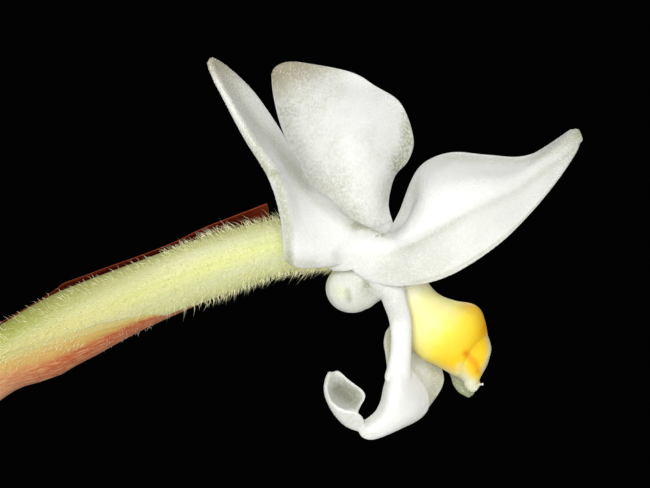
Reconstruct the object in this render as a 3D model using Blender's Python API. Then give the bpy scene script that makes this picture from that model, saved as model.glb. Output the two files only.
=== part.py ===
"""A single jewel orchid bloom on its cut stalk, standing in a small bud vase of water.

Lengths are in millimetres and MM turns them into metres. The origin is the centre of the
vase's foot, +Z is up and the bloom faces +X. Each petal and sepal is a blade skinned over
a few guide curves that run from its base to its tip.
"""

import math

import bpy
import bmesh
import numpy as np

MM = 0.001

# Driving sizes
GAP = 0.35                    # clearance between neighbouring pieces
BLADE = 0.65                  # thickness of petals, sepals, lip and bract
BLOOM = (30.0, 0.0, 57.0)     # where the petals spring from the end of the ovary
HOOD_TURN = math.radians(12)  # hood, lip and column look this far away from the viewer

VASE_HEIGHT = 40.0
VASE_WALL = 1.6
VASE_BOTTOM = 2.5
FLOOR_CORNER = 1.2            # the floor's edge slopes up to the wall over this width
LIP_ROUNDING = 0.35
FOOT_CHAMFER = 0.5
WATER_LEVEL = 28.0
# Radius and height of the vase's outer wall, from the foot to the underside of its lip
VASE_OUTLINE = [(8.6, 0.6), (10.6, 4.0), (12.6, 9.5), (12.9, 14.0), (11.2, 20.0),
                (7.6, 26.0), (5.3, 30.5), (5.0, 34.5), (5.6, 38.0), (6.6, 39.6)]

# Axis of stalk and ovary as (x, z), from the cut foot in the water to the bloom
AXIS = [(-4.0, 3.2), (-1.9, 15.4), (0.25, 27.8), (2.5, 40.0), (3.55, 44.6), (5.05, 47.9),
        (6.9, 49.9), (8.6, 51.05), (11.95, 52.8), (16.4, 54.8), (20.3, 56.35),
        (24.15, 57.5), (27.2, 57.5), (29.25, 56.85)]
NODE_ON_AXIS = 6.0            # where stalk and ovary meet, counted in the axis's points
NODE_HALF_GAP = 0.08          # half their clearance, counted the same way
HOLE_SPAN = (-0.15, 2.4)      # stretch of the axis over which the water has its hole
STALK_RADIUS = 1.4
# Radius of the axis at places counted the same way
AXIS_RADII = [(0.0, STALK_RADIUS), (4.0, STALK_RADIUS), (6.0, 1.3), (7.0, 1.35), (8.0, 1.45),
              (9.0, 1.7), (10.0, 1.75), (11.0, 1.5), (12.0, 1.15), (12.8, 0.95), (13.0, 0.55)]

# The bract wraps the ovary between two margins. Angles turn from straight up over the back.
BRACT_SPAN = (5.6, 10.8)
BRACT_UPPER = [(5.6, -10), (6.3, 20), (7.0, 40), (8.6, 35), (9.2, 39), (10.1, 33), (10.8, 2)]
BRACT_LOWER = [(5.6, 330), (6.3, 300), (7.0, 270), (8.6, 246), (9.2, 205), (9.6, 180),
               (10.2, 120), (10.8, 60)]
BRACT_FLARE = [(5.6, 0.0), (9.6, 0.0), (10.8, 0.15)]

# Guide curves about the bloom, base to tip, as (x, y, z) with y pointing away from the viewer
NEAR_SEPAL = [
    [(-1.75, -1.8, -0.6), (-3.4, -3.1, -0.7), (-4.95, -4.4, -0.7), (-5.6, -5.4, 0.5),
     (-5.8, -6.1, 2.3), (-6.45, -6.5, 4.35), (-7.6, -6.4, 6.2), (-8.7, -6.0, 8.25),
     (-9.5, -5.2, 10.0)],
    [(-0.95, -1.9, 0.15), (-2.35, -2.6, 0.5), (-3.75, -3.3, 1.2), (-4.65, -3.7, 2.35),
     (-5.35, -3.8, 3.75), (-6.1, -3.9, 5.25), (-6.95, -4.0, 6.8), (-8.05, -4.3, 8.4),
     (-9.3, -4.85, 10.45)],
    [(-0.3, -1.85, 1.0), (-1.25, -1.8, 1.5), (-2.25, -1.8, 2.05), (-3.3, -1.8, 2.95),
     (-4.2, -1.8, 3.95), (-5.0, -1.9, 5.35), (-5.75, -2.2, 6.75), (-6.75, -3.0, 8.45),
     (-8.9, -4.5, 10.4)],
]
FAR_SEPAL = [
    [(-1.15, 2.1, 1.5), (-2.2, 2.1, 2.3), (-3.85, 2.5, 3.65), (-5.15, 3.3, 5.6),
     (-5.9, 4.2, 7.45), (-6.3, 5.0, 9.15), (-6.4, 5.35, 10.5)],
    [(-0.4, 2.3, 1.75), (-0.6, 2.1, 2.95), (-1.15, 2.2, 4.65), (-1.8, 2.8, 6.65),
     (-2.85, 3.7, 8.45), (-4.5, 4.6, 9.85), (-6.05, 5.2, 10.85)],
    [(0.1, 2.95, 2.0), (0.15, 3.15, 2.95), (0.7, 3.8, 4.7), (1.65, 4.4, 6.55),
     (0.95, 4.7, 8.75), (-1.9, 4.9, 10.5), (-5.45, 5.1, 11.1)],
]
# Hood, lip and column in the turned frame: y is zero in the bloom's own middle plane
HOOD_KEEL = [(0.95, 0, 1.6), (1.45, 0, 2.9), (2.0, 0, 4.7), (3.75, 0, 5.65), (5.75, 0, 5.6),
             (7.8, 0, 5.5), (9.4, 0, 6.05), (10.95, 0, 6.95)]
HOOD_SHOULDER = [(0.6, -1.1, 1.05), (1.2, -1.6, 1.95), (1.85, -2.1, 3.1), (3.2, -2.5, 4.05),
                 (5.05, -2.5, 4.3), (7.1, -2.0, 4.55), (9.0, -1.2, 5.5), (11.0, -0.4, 6.8)]
HOOD_CREASE = [(0.35, -1.6, 0.5), (1.05, -2.2, 0.75), (1.9, -2.8, 1.3), (3.35, -3.2, 2.2),
               (5.0, -3.1, 3.05), (6.8, -2.5, 3.75), (8.6, -1.7, 4.9), (11.0, -0.65, 6.5)]
NEAR_PETAL = [
    [(0.4, -2.05, -0.15), (1.0, -2.35, 0.15), (2.0, -2.9, 0.65), (3.35, -3.3, 1.5),
     (5.05, -3.2, 2.35), (6.75, -2.6, 3.05), (8.55, -1.8, 4.2), (10.1, -1.2, 5.25)],
    [(0.2, -2.25, -0.8), (0.95, -2.75, -0.6), (2.1, -3.2, -0.25), (3.6, -3.6, 0.6),
     (5.35, -3.5, 1.65), (7.15, -2.8, 2.65), (8.9, -2.0, 3.95), (10.2, -1.35, 5.1)],
    [(0.15, -2.25, -1.5), (0.95, -2.9, -1.6), (2.15, -3.4, -1.3), (3.75, -3.8, -0.5),
     (5.7, -3.7, 0.9), (7.55, -3.0, 2.3), (9.2, -2.2, 3.8), (10.3, -1.5, 4.95)],
]
LIP_BLADE = [
    [(-0.1, -1.3, -6.25), (-0.45, -1.3, -7.3), (-0.7, -1.4, -8.1), (-1.2, -1.6, -8.7),
     (-1.7, -1.8, -9.15)],
    [(0.5, -1.9, -6.25), (0.45, -2.4, -7.4), (0.3, -2.7, -8.5), (0.0, -2.65, -9.25),
     (-0.4, -2.4, -9.75)],
    [(1.2, -1.5, -6.2), (2.0, -0.9, -7.35), (2.3, -0.6, -8.3), (1.85, -0.7, -8.95),
     (1.1, -1.0, -9.35)],
]
LIP_CURL = [
    [(-0.65, -1.0, -8.55), (-1.3, -0.8, -8.6), (-1.45, -0.6, -8.2), (-1.4, -0.5, -7.8),
     (-1.75, -0.6, -7.3), (-2.2, -0.8, -6.95), (-2.6, -0.9, -6.5)],
    [(-1.3, -2.0, -9.75), (-2.05, -2.0, -9.45), (-2.7, -1.9, -9.0), (-3.15, -1.8, -8.45),
     (-3.45, -1.6, -7.8), (-3.55, -1.5, -7.15), (-3.3, -1.45, -6.5)],
    [(-1.45, -3.0, -9.1), (-2.0, -3.1, -8.75), (-2.5, -3.1, -8.5), (-3.0, -3.0, -8.35),
     (-3.4, -2.8, -8.0), (-3.65, -2.4, -7.5), (-3.75, -2.1, -6.9)],
]
LIP_FAR_LOBE = [
    [(0.2, -0.9, -8.9), (0.35, 0.4, -7.95), (0.4, 1.3, -6.8), (0.45, 1.7, -5.6),
     (0.5, 1.9, -4.8), (0.75, 1.95, -4.1)],
    [(1.0, -0.6, -8.9), (1.55, 0.8, -7.9), (2.0, 1.8, -6.7), (2.0, 2.2, -5.6),
     (1.8, 2.3, -4.8), (1.4, 2.2, -3.95)],
    [(1.8, -0.5, -8.5), (2.9, 0.6, -7.8), (3.4, 1.55, -6.8), (3.45, 2.05, -5.7),
     (2.95, 2.1, -4.9), (2.05, 2.05, -4.2)],
]
SAC_CENTRE = (-2.05, 0.0, -2.15)
SAC_RADII = (1.4, 1.25, 1.1)

# Sections of the lip's claw, of the column, of the small lobe under it and of the anther
# cap: one edge (x, z), the other edge (x, z), half depth, and the distance behind the
# middle plane
LIP_CLAW = [((-1.7, -2.5), (-1.3, -1.8), 0.4, -0.4), ((-0.75, -2.75), (-0.2, -1.95), 0.4, -0.9),
            ((0.0, -3.3), (0.85, -2.8), 0.45, -1.3), ((0.15, -4.25), (1.0, -4.0), 0.45, -1.45),
            ((0.05, -5.2), (1.0, -5.15), 0.45, -1.5), ((-0.1, -6.25), (1.2, -6.2), 0.5, -1.6),
            ((-0.25, -7.1), (1.3, -7.1), 0.45, -1.9)]
COLUMN = [((1.15, -0.4), (0.15, -0.85), 0.55, 0), ((2.65, -1.6), (0.95, -1.85), 0.8, 0),
          ((3.05, -2.2), (1.2, -2.8), 0.95, 0), ((3.8, -2.6), (1.35, -3.85), 1.2, 0),
          ((4.65, -2.75), (1.6, -4.9), 1.4, 0), ((5.35, -3.1), (2.25, -5.75), 1.4, 0),
          ((5.45, -3.7), (3.7, -6.4), 1.0, 0)]
ANTHER_CAP = [((5.95, -4.1), (4.3, -6.8), 0.95, 0), ((6.1, -5.0), (4.4, -6.95), 0.95, 0),
              ((6.0, -5.7), (4.45, -7.1), 0.85, 0), ((5.8, -6.4), (4.55, -7.3), 0.65, 0),
              ((5.45, -7.0), (4.65, -7.45), 0.45, 0), ((5.3, -7.35), (4.9, -7.6), 0.25, 0)]
UNDER_LOBE = [((4.2, -5.6), (3.4, -5.9), 0.35, 0.55), ((4.6, -6.2), (3.9, -6.6), 0.32, 1.3),
              ((4.95, -6.85), (4.1, -7.3), 0.3, 1.45), ((4.9, -7.35), (4.5, -7.55), 0.2, 1.45)]

# Fineness
BLADE_ROWS = 18
BLADE_COLUMNS = 9
HOOD_COLUMNS = 13
BRACT_COLUMNS = 12
VASE_SIDES = 40
WALL_POINTS = 17
TUBE_SIDES = 16
STALK_RINGS = 22
OVARY_RINGS = 30
SECTION_RINGS = 18
CRISP_ANGLE = math.radians(50)

WHITE = (0.88, 0.88, 0.85)
YELLOW = (0.95, 0.75, 0.06)
CREAM = (0.93, 0.88, 0.48)
PALE_GREEN = (0.62, 0.72, 0.32)
GREEN = (0.30, 0.42, 0.16)
RED_BROWN = (0.40, 0.09, 0.04)
CELADON = (0.42, 0.52, 0.45)
WATER_TINT = (0.80, 0.88, 0.88)


def clear_scene():
    for item in list(bpy.data.objects):
        bpy.data.objects.remove(item, do_unlink=True)


def material(name, colour, roughness):
    made = bpy.data.materials.new(name)
    made.use_nodes = True
    shader = made.node_tree.nodes["Principled BSDF"]
    shader.inputs["Base Color"].default_value = (*colour, 1.0)
    shader.inputs["Roughness"].default_value = roughness
    shader.inputs["Metallic"].default_value = 0.0
    made.diffuse_color = (*colour, 1.0)
    return made


def smooth(points, count, start=0.0, end=None):
    """Points on a smooth curve through the given ones, between two places along it."""
    points = np.asarray(points, dtype=float)
    last = len(points) - 1
    padded = np.vstack([2 * points[0] - points[1], points, 2 * points[-1] - points[-2]])
    place = np.linspace(start, last if end is None else end, count)
    left = np.clip(place.astype(int), 0, last - 1)
    f = (place - left)[:, None]
    a, b, c, d = (padded[left + step] for step in range(4))
    bend = (2 * a - 5 * b + 4 * c - d) * f ** 2 + (3 * b - a - 3 * c + d) * f ** 3
    return 0.5 * (2 * b + (c - a) * f + bend)


def value_at(places, pairs):
    """The value at each place, from (place, value) pairs."""
    known = np.array(pairs, dtype=float)
    return np.interp(places, known[:, 0], known[:, 1])


def skin(guides, rows=BLADE_ROWS, columns=BLADE_COLUMNS):
    """A grid of points over a blade: base to tip along its guides, margin to margin across."""
    along = np.stack([smooth(guide, rows) for guide in guides], axis=1)
    return np.stack([smooth(row, columns) for row in along])


def new_object(name, mesh, made_of=None, location=(0, 0, 0), turn=0.0):
    made = bpy.data.objects.new(name, mesh)
    bpy.context.scene.collection.objects.link(made)
    made.location = [value * MM for value in location]
    made.rotation_euler.z = turn
    if made_of:
        mesh.materials.append(made_of)
    mesh.shade_smooth()
    mesh.set_sharp_from_angle(angle=CRISP_ANGLE)
    return made


def blade(name, grid, made_of=None, location=BLOOM, turn=0.0, flip=False):
    """A thin solid over a grid of points, both faces split into the same triangles."""
    rows, columns = grid.shape[:2]
    faces = []
    for row in range(rows - 1):
        for column in range(columns - 1):
            a = row * columns + column
            b, c, d = a + 1, a + columns + 1, a + columns
            faces += [(a, c, b), (a, d, c)] if flip else [(a, b, c), (a, c, d)]
    mesh = bpy.data.meshes.new(name)
    mesh.from_pydata((grid.reshape(-1, 3) * MM).tolist(), [], faces)
    made = new_object(name, mesh, made_of, location, turn)
    solidify = made.modifiers.new("Thickness", "SOLIDIFY")
    solidify.thickness = BLADE * MM
    solidify.offset = 0.0
    return made


def loft(name, centres, acrosses, depths, made_of=None, location=(0, 0, 0), turn=0.0):
    """A closed solid through elliptical sections, each given by its centre and half axes."""
    angles = np.linspace(0, 2 * math.pi, TUBE_SIDES, endpoint=False)[:, None]
    mesh = bpy.data.meshes.new(name)
    shape = bmesh.new()
    rings = []
    for centre, across, depth in zip(centres, acrosses, depths):
        ring = centre + across * np.cos(angles) + depth * np.sin(angles)
        rings.append([shape.verts.new(point * MM) for point in ring])
    for ring, following in zip(rings, rings[1:]):
        for side in range(TUBE_SIDES):
            after = (side + 1) % TUBE_SIDES
            shape.faces.new((ring[side], ring[after], following[after], following[side]))
    shape.faces.new(rings[0][::-1])
    shape.faces.new(rings[-1])
    bmesh.ops.recalc_face_normals(shape, faces=shape.faces)
    shape.to_mesh(mesh)
    shape.free()
    return new_object(name, mesh, made_of, location, turn)


def loft_of_sections(name, sections, count, made_of=None):
    """A solid through sections given by their upper and lower edges in the turned frame."""
    rows = smooth([(*upper, *lower, depth, behind) for upper, lower, depth, behind in sections],
                  count)
    zero = np.zeros(count)
    upper = np.column_stack([rows[:, 0], rows[:, 5], rows[:, 1]])
    lower = np.column_stack([rows[:, 2], rows[:, 5], rows[:, 3]])
    depths = np.column_stack([zero, rows[:, 4], zero])
    return loft(name, (upper + lower) / 2, (upper - lower) / 2, depths, made_of, BLOOM,
                HOOD_TURN)


def axis_frames(span, count):
    """Centre, upward normal and radius at places along the axis of stalk and ovary."""
    places = np.linspace(*span, count)
    flat = smooth(AXIS, count, *span)
    run = np.gradient(flat, axis=0)
    run /= np.linalg.norm(run, axis=1)[:, None]
    zero = np.zeros(count)
    centres = np.column_stack([flat[:, 0], zero, flat[:, 1]])
    normals = np.column_stack([-run[:, 1], zero, run[:, 0]])
    return places, centres, normals, value_at(places, AXIS_RADII)


def axis_tube(name, span, count, made_of=None, clearance=0.0):
    _, centres, normals, radii = axis_frames(span, count)
    radii = (radii + clearance)[:, None]
    back = np.array([0.0, 1.0, 0.0])
    return loft(name, centres, normals * radii, back * radii, made_of)


def join(base, others):
    """Fuse the others into the base and remove them."""
    parts = bpy.data.collections.new("parts of " + base.name)
    bpy.context.scene.collection.children.link(parts)
    for other in others:
        bpy.context.scene.collection.objects.unlink(other)
        parts.objects.link(other)
    union = base.modifiers.new("Union", "BOOLEAN")
    union.operation = "UNION"
    union.operand_type = "COLLECTION"
    union.collection = parts
    apply_modifiers(base)
    for other in others:
        bpy.data.objects.remove(other, do_unlink=True)
    bpy.data.collections.remove(parts)


def apply_modifiers(item):
    bpy.context.view_layer.update()
    seen = item.evaluated_get(bpy.context.evaluated_depsgraph_get())
    finished = bpy.data.meshes.new_from_object(seen)
    item.modifiers.clear()
    item.data = finished


def turned(name, outline, made_of, sides=VASE_SIDES):
    """A solid turned about Z from an outline that runs down its outer side."""
    mesh = bpy.data.meshes.new(name)
    points = [(radius * MM, 0.0, height * MM) for radius, height in outline]
    mesh.from_pydata(points, [(i, i + 1) for i in range(len(points) - 1)], [])
    made = new_object(name, mesh, made_of)
    screw = made.modifiers.new("Turn", "SCREW")
    screw.steps = sides
    screw.render_steps = sides
    screw.use_merge_vertices = True
    screw.merge_threshold = 0.00001
    screw.use_smooth_shade = True
    return made


def inner_wall():
    """Radius and height of the vase's inner wall, from the floor up to the lip."""
    outer = smooth(VASE_OUTLINE, WALL_POINTS)
    run = np.gradient(outer, axis=0)
    run /= np.linalg.norm(run, axis=1)[:, None]
    inner = outer + VASE_WALL * np.column_stack([-run[:, 1], run[:, 0]])
    above_floor = inner[:, 1] > VASE_BOTTOM + FLOOR_CORNER
    below_lip = inner[:, 1] < VASE_HEIGHT - 2 * LIP_ROUNDING
    return inner[above_floor & below_lip]


def vase():
    wall = inner_wall()
    outer = smooth(VASE_OUTLINE, WALL_POINTS)
    mouth = wall[-1, 0] + LIP_ROUNDING
    lip = [(mouth, VASE_HEIGHT - LIP_ROUNDING), (mouth + LIP_ROUNDING, VASE_HEIGHT),
           (outer[-1, 0] - LIP_ROUNDING, VASE_HEIGHT)]
    floor = [(0.0, VASE_BOTTOM), (wall[0, 0] - FLOOR_CORNER, VASE_BOTTOM)]
    foot = [(outer[0, 0] - FOOT_CHAMFER, 0.0), (0.0, 0.0)]
    outline = floor + wall.tolist() + lip + outer[::-1].tolist() + foot
    return turned("vase", outline, material("celadon glaze", CELADON, 0.18))


def water():
    wall = inner_wall()
    surface_radius = np.interp(WATER_LEVEL, wall[:, 1], wall[:, 0]) - GAP
    side = [(radius - GAP, height) for radius, height in wall if height < WATER_LEVEL - GAP]
    base = VASE_BOTTOM + GAP
    outline = [(0.0, WATER_LEVEL), (surface_radius, WATER_LEVEL)] + side[::-1]
    outline += [(side[0][0] - FLOOR_CORNER, base), (0.0, base)]
    made = turned("water", outline, material("water", WATER_TINT, 0.05))
    cutter = axis_tube("stalk hole", HOLE_SPAN, SECTION_RINGS, clearance=GAP)
    cut = made.modifiers.new("Hole for the stalk", "BOOLEAN")
    cut.operation = "DIFFERENCE"
    cut.object = cutter
    apply_modifiers(made)
    bpy.data.objects.remove(cutter, do_unlink=True)
    return made


def stalk_and_ovary():
    stalk_span = (0.0, NODE_ON_AXIS - NODE_HALF_GAP)
    ovary_span = (NODE_ON_AXIS + NODE_HALF_GAP, len(AXIS) - 1)
    axis_tube("stalk", stalk_span, STALK_RINGS, material("stalk", GREEN, 0.5))
    axis_tube("ovary", ovary_span, OVARY_RINGS, material("ovary", PALE_GREEN, 0.5))


def bract():
    places, centres, normals, radii = axis_frames(BRACT_SPAN, BLADE_ROWS)
    reach = radii + GAP + BLADE / 2 + value_at(places, BRACT_FLARE)
    upper = np.radians(value_at(places, BRACT_UPPER))
    lower = np.radians(value_at(places, BRACT_LOWER))
    back = np.array([0.0, 1.0, 0.0])
    grid = np.empty((BLADE_ROWS, BRACT_COLUMNS, 3))
    for column, share in enumerate(np.linspace(0, 1, BRACT_COLUMNS)):
        angle = upper + (lower - upper) * share
        round_axis = normals * np.cos(angle)[:, None] + back * np.sin(angle)[:, None]
        grid[:, column] = centres + round_axis * reach[:, None]
    blade("bract", grid, material("bract", RED_BROWN, 0.55), location=(0, 0, 0))


def mirrored(guide):
    return [(x, -y, z) for x, y, z in guide]


def sepals_and_petals(white):
    blade("lateral_sepal_near", skin(NEAR_SEPAL), white)
    blade("lateral_sepal_far", skin(FAR_SEPAL), white)
    hood = [HOOD_CREASE, HOOD_SHOULDER, HOOD_KEEL, mirrored(HOOD_SHOULDER), mirrored(HOOD_CREASE)]
    blade("dorsal_sepal", skin(hood, columns=HOOD_COLUMNS), white, turn=HOOD_TURN)
    blade("petal_near", skin(NEAR_PETAL), white, turn=HOOD_TURN)
    far_petal = [mirrored(guide) for guide in NEAR_PETAL]
    blade("petal_far", skin(far_petal), white, turn=HOOD_TURN, flip=True)


def ball(name, centre, radii, location, turn):
    mesh = bpy.data.meshes.new(name)
    shape = bmesh.new()
    bmesh.ops.create_icosphere(shape, subdivisions=2, radius=1.0)
    for vert in shape.verts:
        vert.co = [(middle + radius * value) * MM
                   for middle, radius, value in zip(centre, radii, vert.co)]
    shape.to_mesh(mesh)
    shape.free()
    return new_object(name, mesh, None, location, turn)


def lip(white):
    """Sac at the base, channelled claw, curled near lobe and upright far lobe in one piece."""
    claw = loft_of_sections("lip", LIP_CLAW, SECTION_RINGS, white)
    spread = blade("lip blade", skin(LIP_BLADE, 12, 9), turn=HOOD_TURN)
    curl = blade("lip curl", skin(LIP_CURL, 14, 9), turn=HOOD_TURN)
    far_lobe = blade("lip far lobe", skin(LIP_FAR_LOBE, 12, 7), turn=HOOD_TURN)
    sac = ball("lip sac", SAC_CENTRE, SAC_RADII, BLOOM, HOOD_TURN)
    join(claw, [spread, curl, far_lobe, sac])


def column_and_anther():
    column = loft_of_sections("column", COLUMN, SECTION_RINGS, material("column", CREAM, 0.4))
    join(column, [loft_of_sections("under lobe", UNDER_LOBE, SECTION_RINGS // 2)])
    loft_of_sections("anther_cap", ANTHER_CAP, 2 * SECTION_RINGS // 3,
                     material("anther cap", YELLOW, 0.4))


def main():
    clear_scene()
    white = material("white petal", WHITE, 0.45)
    vase()
    water()
    stalk_and_ovary()
    bract()
    sepals_and_petals(white)
    lip(white)
    column_and_anther()


main()
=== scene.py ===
"""Looks of a jewel orchid bloom on its cut stalk in a small bud vase.

Lengths are in millimetres and MM turns them into metres. The bloom's points are measured from
the place where its petals spring from the ovary, with x to the right, y away from the viewer
and z up. Petals, sepals and bract are sheets laid over guide curves from base to tip.
"""

import math

import bpy
import numpy as np
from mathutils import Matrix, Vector
from mathutils.bvhtree import BVHTree
from mathutils.kdtree import KDTree

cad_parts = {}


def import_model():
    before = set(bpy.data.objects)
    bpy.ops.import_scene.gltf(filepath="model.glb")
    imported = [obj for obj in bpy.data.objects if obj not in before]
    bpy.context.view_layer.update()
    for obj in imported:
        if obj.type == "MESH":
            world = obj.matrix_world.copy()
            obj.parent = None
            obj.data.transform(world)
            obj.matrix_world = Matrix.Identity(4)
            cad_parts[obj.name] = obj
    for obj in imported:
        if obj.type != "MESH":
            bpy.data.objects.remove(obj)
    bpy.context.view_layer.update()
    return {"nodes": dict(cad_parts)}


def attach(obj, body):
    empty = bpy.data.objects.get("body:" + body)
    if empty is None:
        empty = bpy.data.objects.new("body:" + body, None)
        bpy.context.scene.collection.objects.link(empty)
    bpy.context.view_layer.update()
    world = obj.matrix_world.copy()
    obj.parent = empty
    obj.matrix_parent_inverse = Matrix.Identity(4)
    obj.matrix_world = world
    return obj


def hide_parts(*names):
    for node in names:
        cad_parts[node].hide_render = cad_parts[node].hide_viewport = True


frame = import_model()

MM = 0.001
BODY = "root"
BLOOM = np.array([30.0, 0.0, 57.0])
HOOD_TURN = math.radians(12)
BACK = np.array([0.0, 1.0, 0.0])
BEHIND_HOOD = np.array([-math.sin(HOOD_TURN), math.cos(HOOD_TURN), 0.0])

# Axis of stalk and ovary as (x, z), and radii at places counted in its points
AXIS = [
    (-4.0, 3.2), (-1.9, 15.4), (0.25, 27.8), (2.5, 40.0), (3.55, 44.6), (5.05, 47.9), (6.9, 49.9),
    (8.6, 51.05), (11.95, 52.8), (16.4, 54.8), (20.3, 56.35), (24.15, 57.5), (27.2, 57.5),
    (29.25, 56.85),
]
AXIS_RADII = [
    (0.0, 1.4), (4.0, 1.4), (6.0, 1.3), (7.0, 1.38), (7.5, 1.52), (8.2, 1.8), (8.9, 1.74), (9.5, 1.7),
    (10.2, 1.68), (10.8, 1.54), (11.4, 1.45), (12.0, 1.15), (12.8, 0.95), (13.0, 0.55),
]
NODE_ON_AXIS = 6.0

# The bract wraps the ovary between two margins. Angles turn from straight up over the back.
BRACT_SPAN = (5.6, 10.94)
BRACT_UPPER = [(5.6, -8), (6.3, 2), (7.0, 8), (8.6, 10), (10.94, 6)]
BRACT_LOWER = [
    (5.6, 330), (6.3, 305), (7.0, 285), (7.8, 266), (8.5, 250), (9.0, 228), (9.2, 214), (9.45, 208),
    (9.8, 182), (10.4, 120), (10.94, 60),
]
BRACT_RISE = [
    (5.6, 0.1), (7.0, 0.4), (7.33, 0.35), (7.54, 0.31), (7.93, 0.23), (8.19, 0.31), (8.25, 0.45),
    (8.52, 0.36), (8.79, 0.3), (9.06, 0.22), (9.35, 0.17), (9.72, 0.2), (9.96, 0.34), (10.42, 0.5),
    (10.71, 0.66), (10.94, 0.85),
]
BRACT_SAG = [
    (5.6, 0.0), (6.48, 0.3), (7.0, 0.17), (7.2, 0.18), (7.49, 0.35), (7.78, 0.4), (7.96, 0.26),
    (8.18, 0.12), (8.42, 0.04), (8.82, -0.06), (9.8, -0.06), (10.94, 0.0),
]
BRACT_CLEARANCE = 0.1
BRACT_HALF_THICK = 0.06

# Guide curves from base to tip, one after the other across each sheet
NEAR_SEPAL = [
    [(-1.3, -1.6, -0.4), (-3.05, -2.7, -0.6), (-4.6, -3.7, -0.7), (-5.5, -4.5, -0.15),
     (-5.75, -4.9, 2.1), (-6.38, -5.1, 4.15), (-7.62, -5.2, 6.2), (-8.68, -5.2, 8.25),
     (-9.42, -5.1, 9.7), (-9.62, -4.95, 10.37)],
    [(-1.05, -1.9, -0.1), (-2.85, -3.0, -0.15), (-4.2, -3.9, 0.0), (-5.05, -4.6, 0.85),
     (-5.35, -5.1, 2.55), (-5.95, -5.3, 4.3), (-7.3, -5.4, 6.3), (-8.45, -5.4, 8.2), (-9.3, -5.2, 9.75),
     (-9.57, -5.0, 10.46)],
    [(-0.65, -2.05, 0.3), (-2.25, -2.75, 0.7), (-3.6, -3.4, 1.15), (-4.45, -3.9, 2.15),
     (-5.05, -4.3, 3.3), (-5.75, -4.6, 4.65), (-7.05, -4.8, 6.45), (-8.3, -4.95, 8.3),
     (-9.2, -5.0, 9.85), (-9.5, -4.95, 10.58)],
    [(-0.15, -1.95, 0.65), (-1.4, -2.3, 1.25), (-2.75, -2.65, 2.15), (-3.8, -2.9, 3.0),
     (-4.65, -3.1, 4.0), (-5.45, -3.3, 5.05), (-6.7, -3.6, 6.7), (-7.9, -4.2, 8.4), (-9.07, -4.7, 9.98),
     (-9.43, -4.85, 10.62)],
    [(0.3, -1.7, 1.15), (-0.8, -1.8, 1.45), (-1.95, -1.85, 1.97), (-2.95, -1.9, 2.95),
     (-4.05, -1.9, 3.7), (-4.87, -2.0, 5.2), (-5.95, -2.3, 7.1), (-7.27, -3.1, 8.95),
     (-8.62, -4.0, 10.18), (-9.35, -4.65, 10.56)],
]
FAR_SEPAL = [
    [(-1.6, 1.6, 0.4), (-2.0, 2.0, 1.6), (-2.6, 2.1, 2.3), (-3.95, 2.5, 3.5), (-5.15, 3.3, 5.6),
     (-5.9, 4.2, 7.45), (-6.3, 5.0, 9.15), (-6.4, 5.35, 10.5)],
    [(-0.55, 1.5, 0.25), (-0.65, 1.9, 1.55), (-0.75, 2.0, 2.75), (-1.15, 2.2, 4.65), (-1.8, 2.8, 6.65),
     (-2.85, 3.7, 8.45), (-4.5, 4.6, 9.85), (-6.05, 5.2, 10.85)],
    [(0.65, 1.7, 0.5), (0.52, 2.2, 1.65), (0.24, 3.0, 2.9), (0.62, 3.8, 4.5), (1.42, 4.1, 5.4),
     (1.72, 4.4, 6.65), (1.02, 4.7, 8.62), (-0.4, 4.8, 9.6), (-1.95, 4.9, 10.47), (-5.45, 5.1, 11.14)],
]
# Hood, lip and column in the turned frame: y is zero in the bloom's own middle plane
HOOD_KEEL = [
    (-0.3, 0, 0.85), (1.17, 0, 1.6), (1.72, 0, 2.9), (2.05, 0, 4.75), (3.65, 0, 5.57), (5.75, 0, 5.47),
    (7.8, 0, 5.38), (9.45, 0, 5.95), (10.75, 0, 6.9),
]
HOOD_SHOULDER = [
    (-0.85, -1.0, 0.65), (0.5, -1.2, 1.2), (1.3, -1.65, 2.35), (1.94, -2.1, 3.5), (3.2, -2.5, 4.05),
    (5.05, -2.5, 4.3), (7.1, -2.0, 4.55), (9.05, -1.2, 5.65), (11.1, -0.3, 7.05),
]
HOOD_CREASE = [
    (-1.2, -1.5, 0.15), (-0.1, -1.9, 0.35), (0.75, -2.25, 0.6), (1.85, -2.8, 1.15), (3.35, -3.2, 2.1),
    (5.0, -3.1, 2.95), (6.8, -2.5, 3.7), (8.75, -1.6, 4.95), (11.4, -0.5, 6.45),
]
NEAR_PETAL = [
    [(-1.9, -0.6, 0.4), (-1.0, -0.85, 0.42), (0.2, -1.1, 0.7), (1.0, -1.5, 1.3), (1.85, -2.0, 2.15),
     (3.3, -2.4, 3.0), (5.0, -2.35, 3.5), (6.9, -1.85, 4.0), (8.8, -1.1, 5.1), (10.8, -0.2, 6.3)],
    [(-2.2, -0.9, 0.0), (-1.2, -1.35, 0.1), (-0.1, -1.84, 0.28), (0.75, -2.18, 0.53),
     (1.85, -2.73, 1.08), (3.35, -3.13, 2.03), (5.0, -3.03, 2.88), (6.8, -2.43, 3.63),
     (8.75, -1.53, 4.88), (11.1, -0.42, 6.35)],
    [(-2.35, -0.95, -0.5), (-1.75, -1.5, -0.5), (-0.2, -2.1, -0.6), (0.85, -2.75, -0.35),
     (2.15, -3.2, 0.1), (3.6, -3.6, 0.95), (5.35, -3.4, 1.9), (7.15, -2.75, 2.9), (8.9, -1.95, 4.15),
     (11.05, -0.6, 6.1)],
    [(-1.4, -0.8, -1.35), (-1.05, -1.45, -1.5), (-0.2, -2.0, -1.7), (1.0, -2.8, -1.65),
     (2.3, -3.4, -1.33), (3.8, -3.75, -0.57), (5.75, -3.7, 0.77), (7.62, -3.0, 2.4), (9.3, -2.1, 4.1),
     (10.85, -0.8, 5.75)],
]
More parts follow.
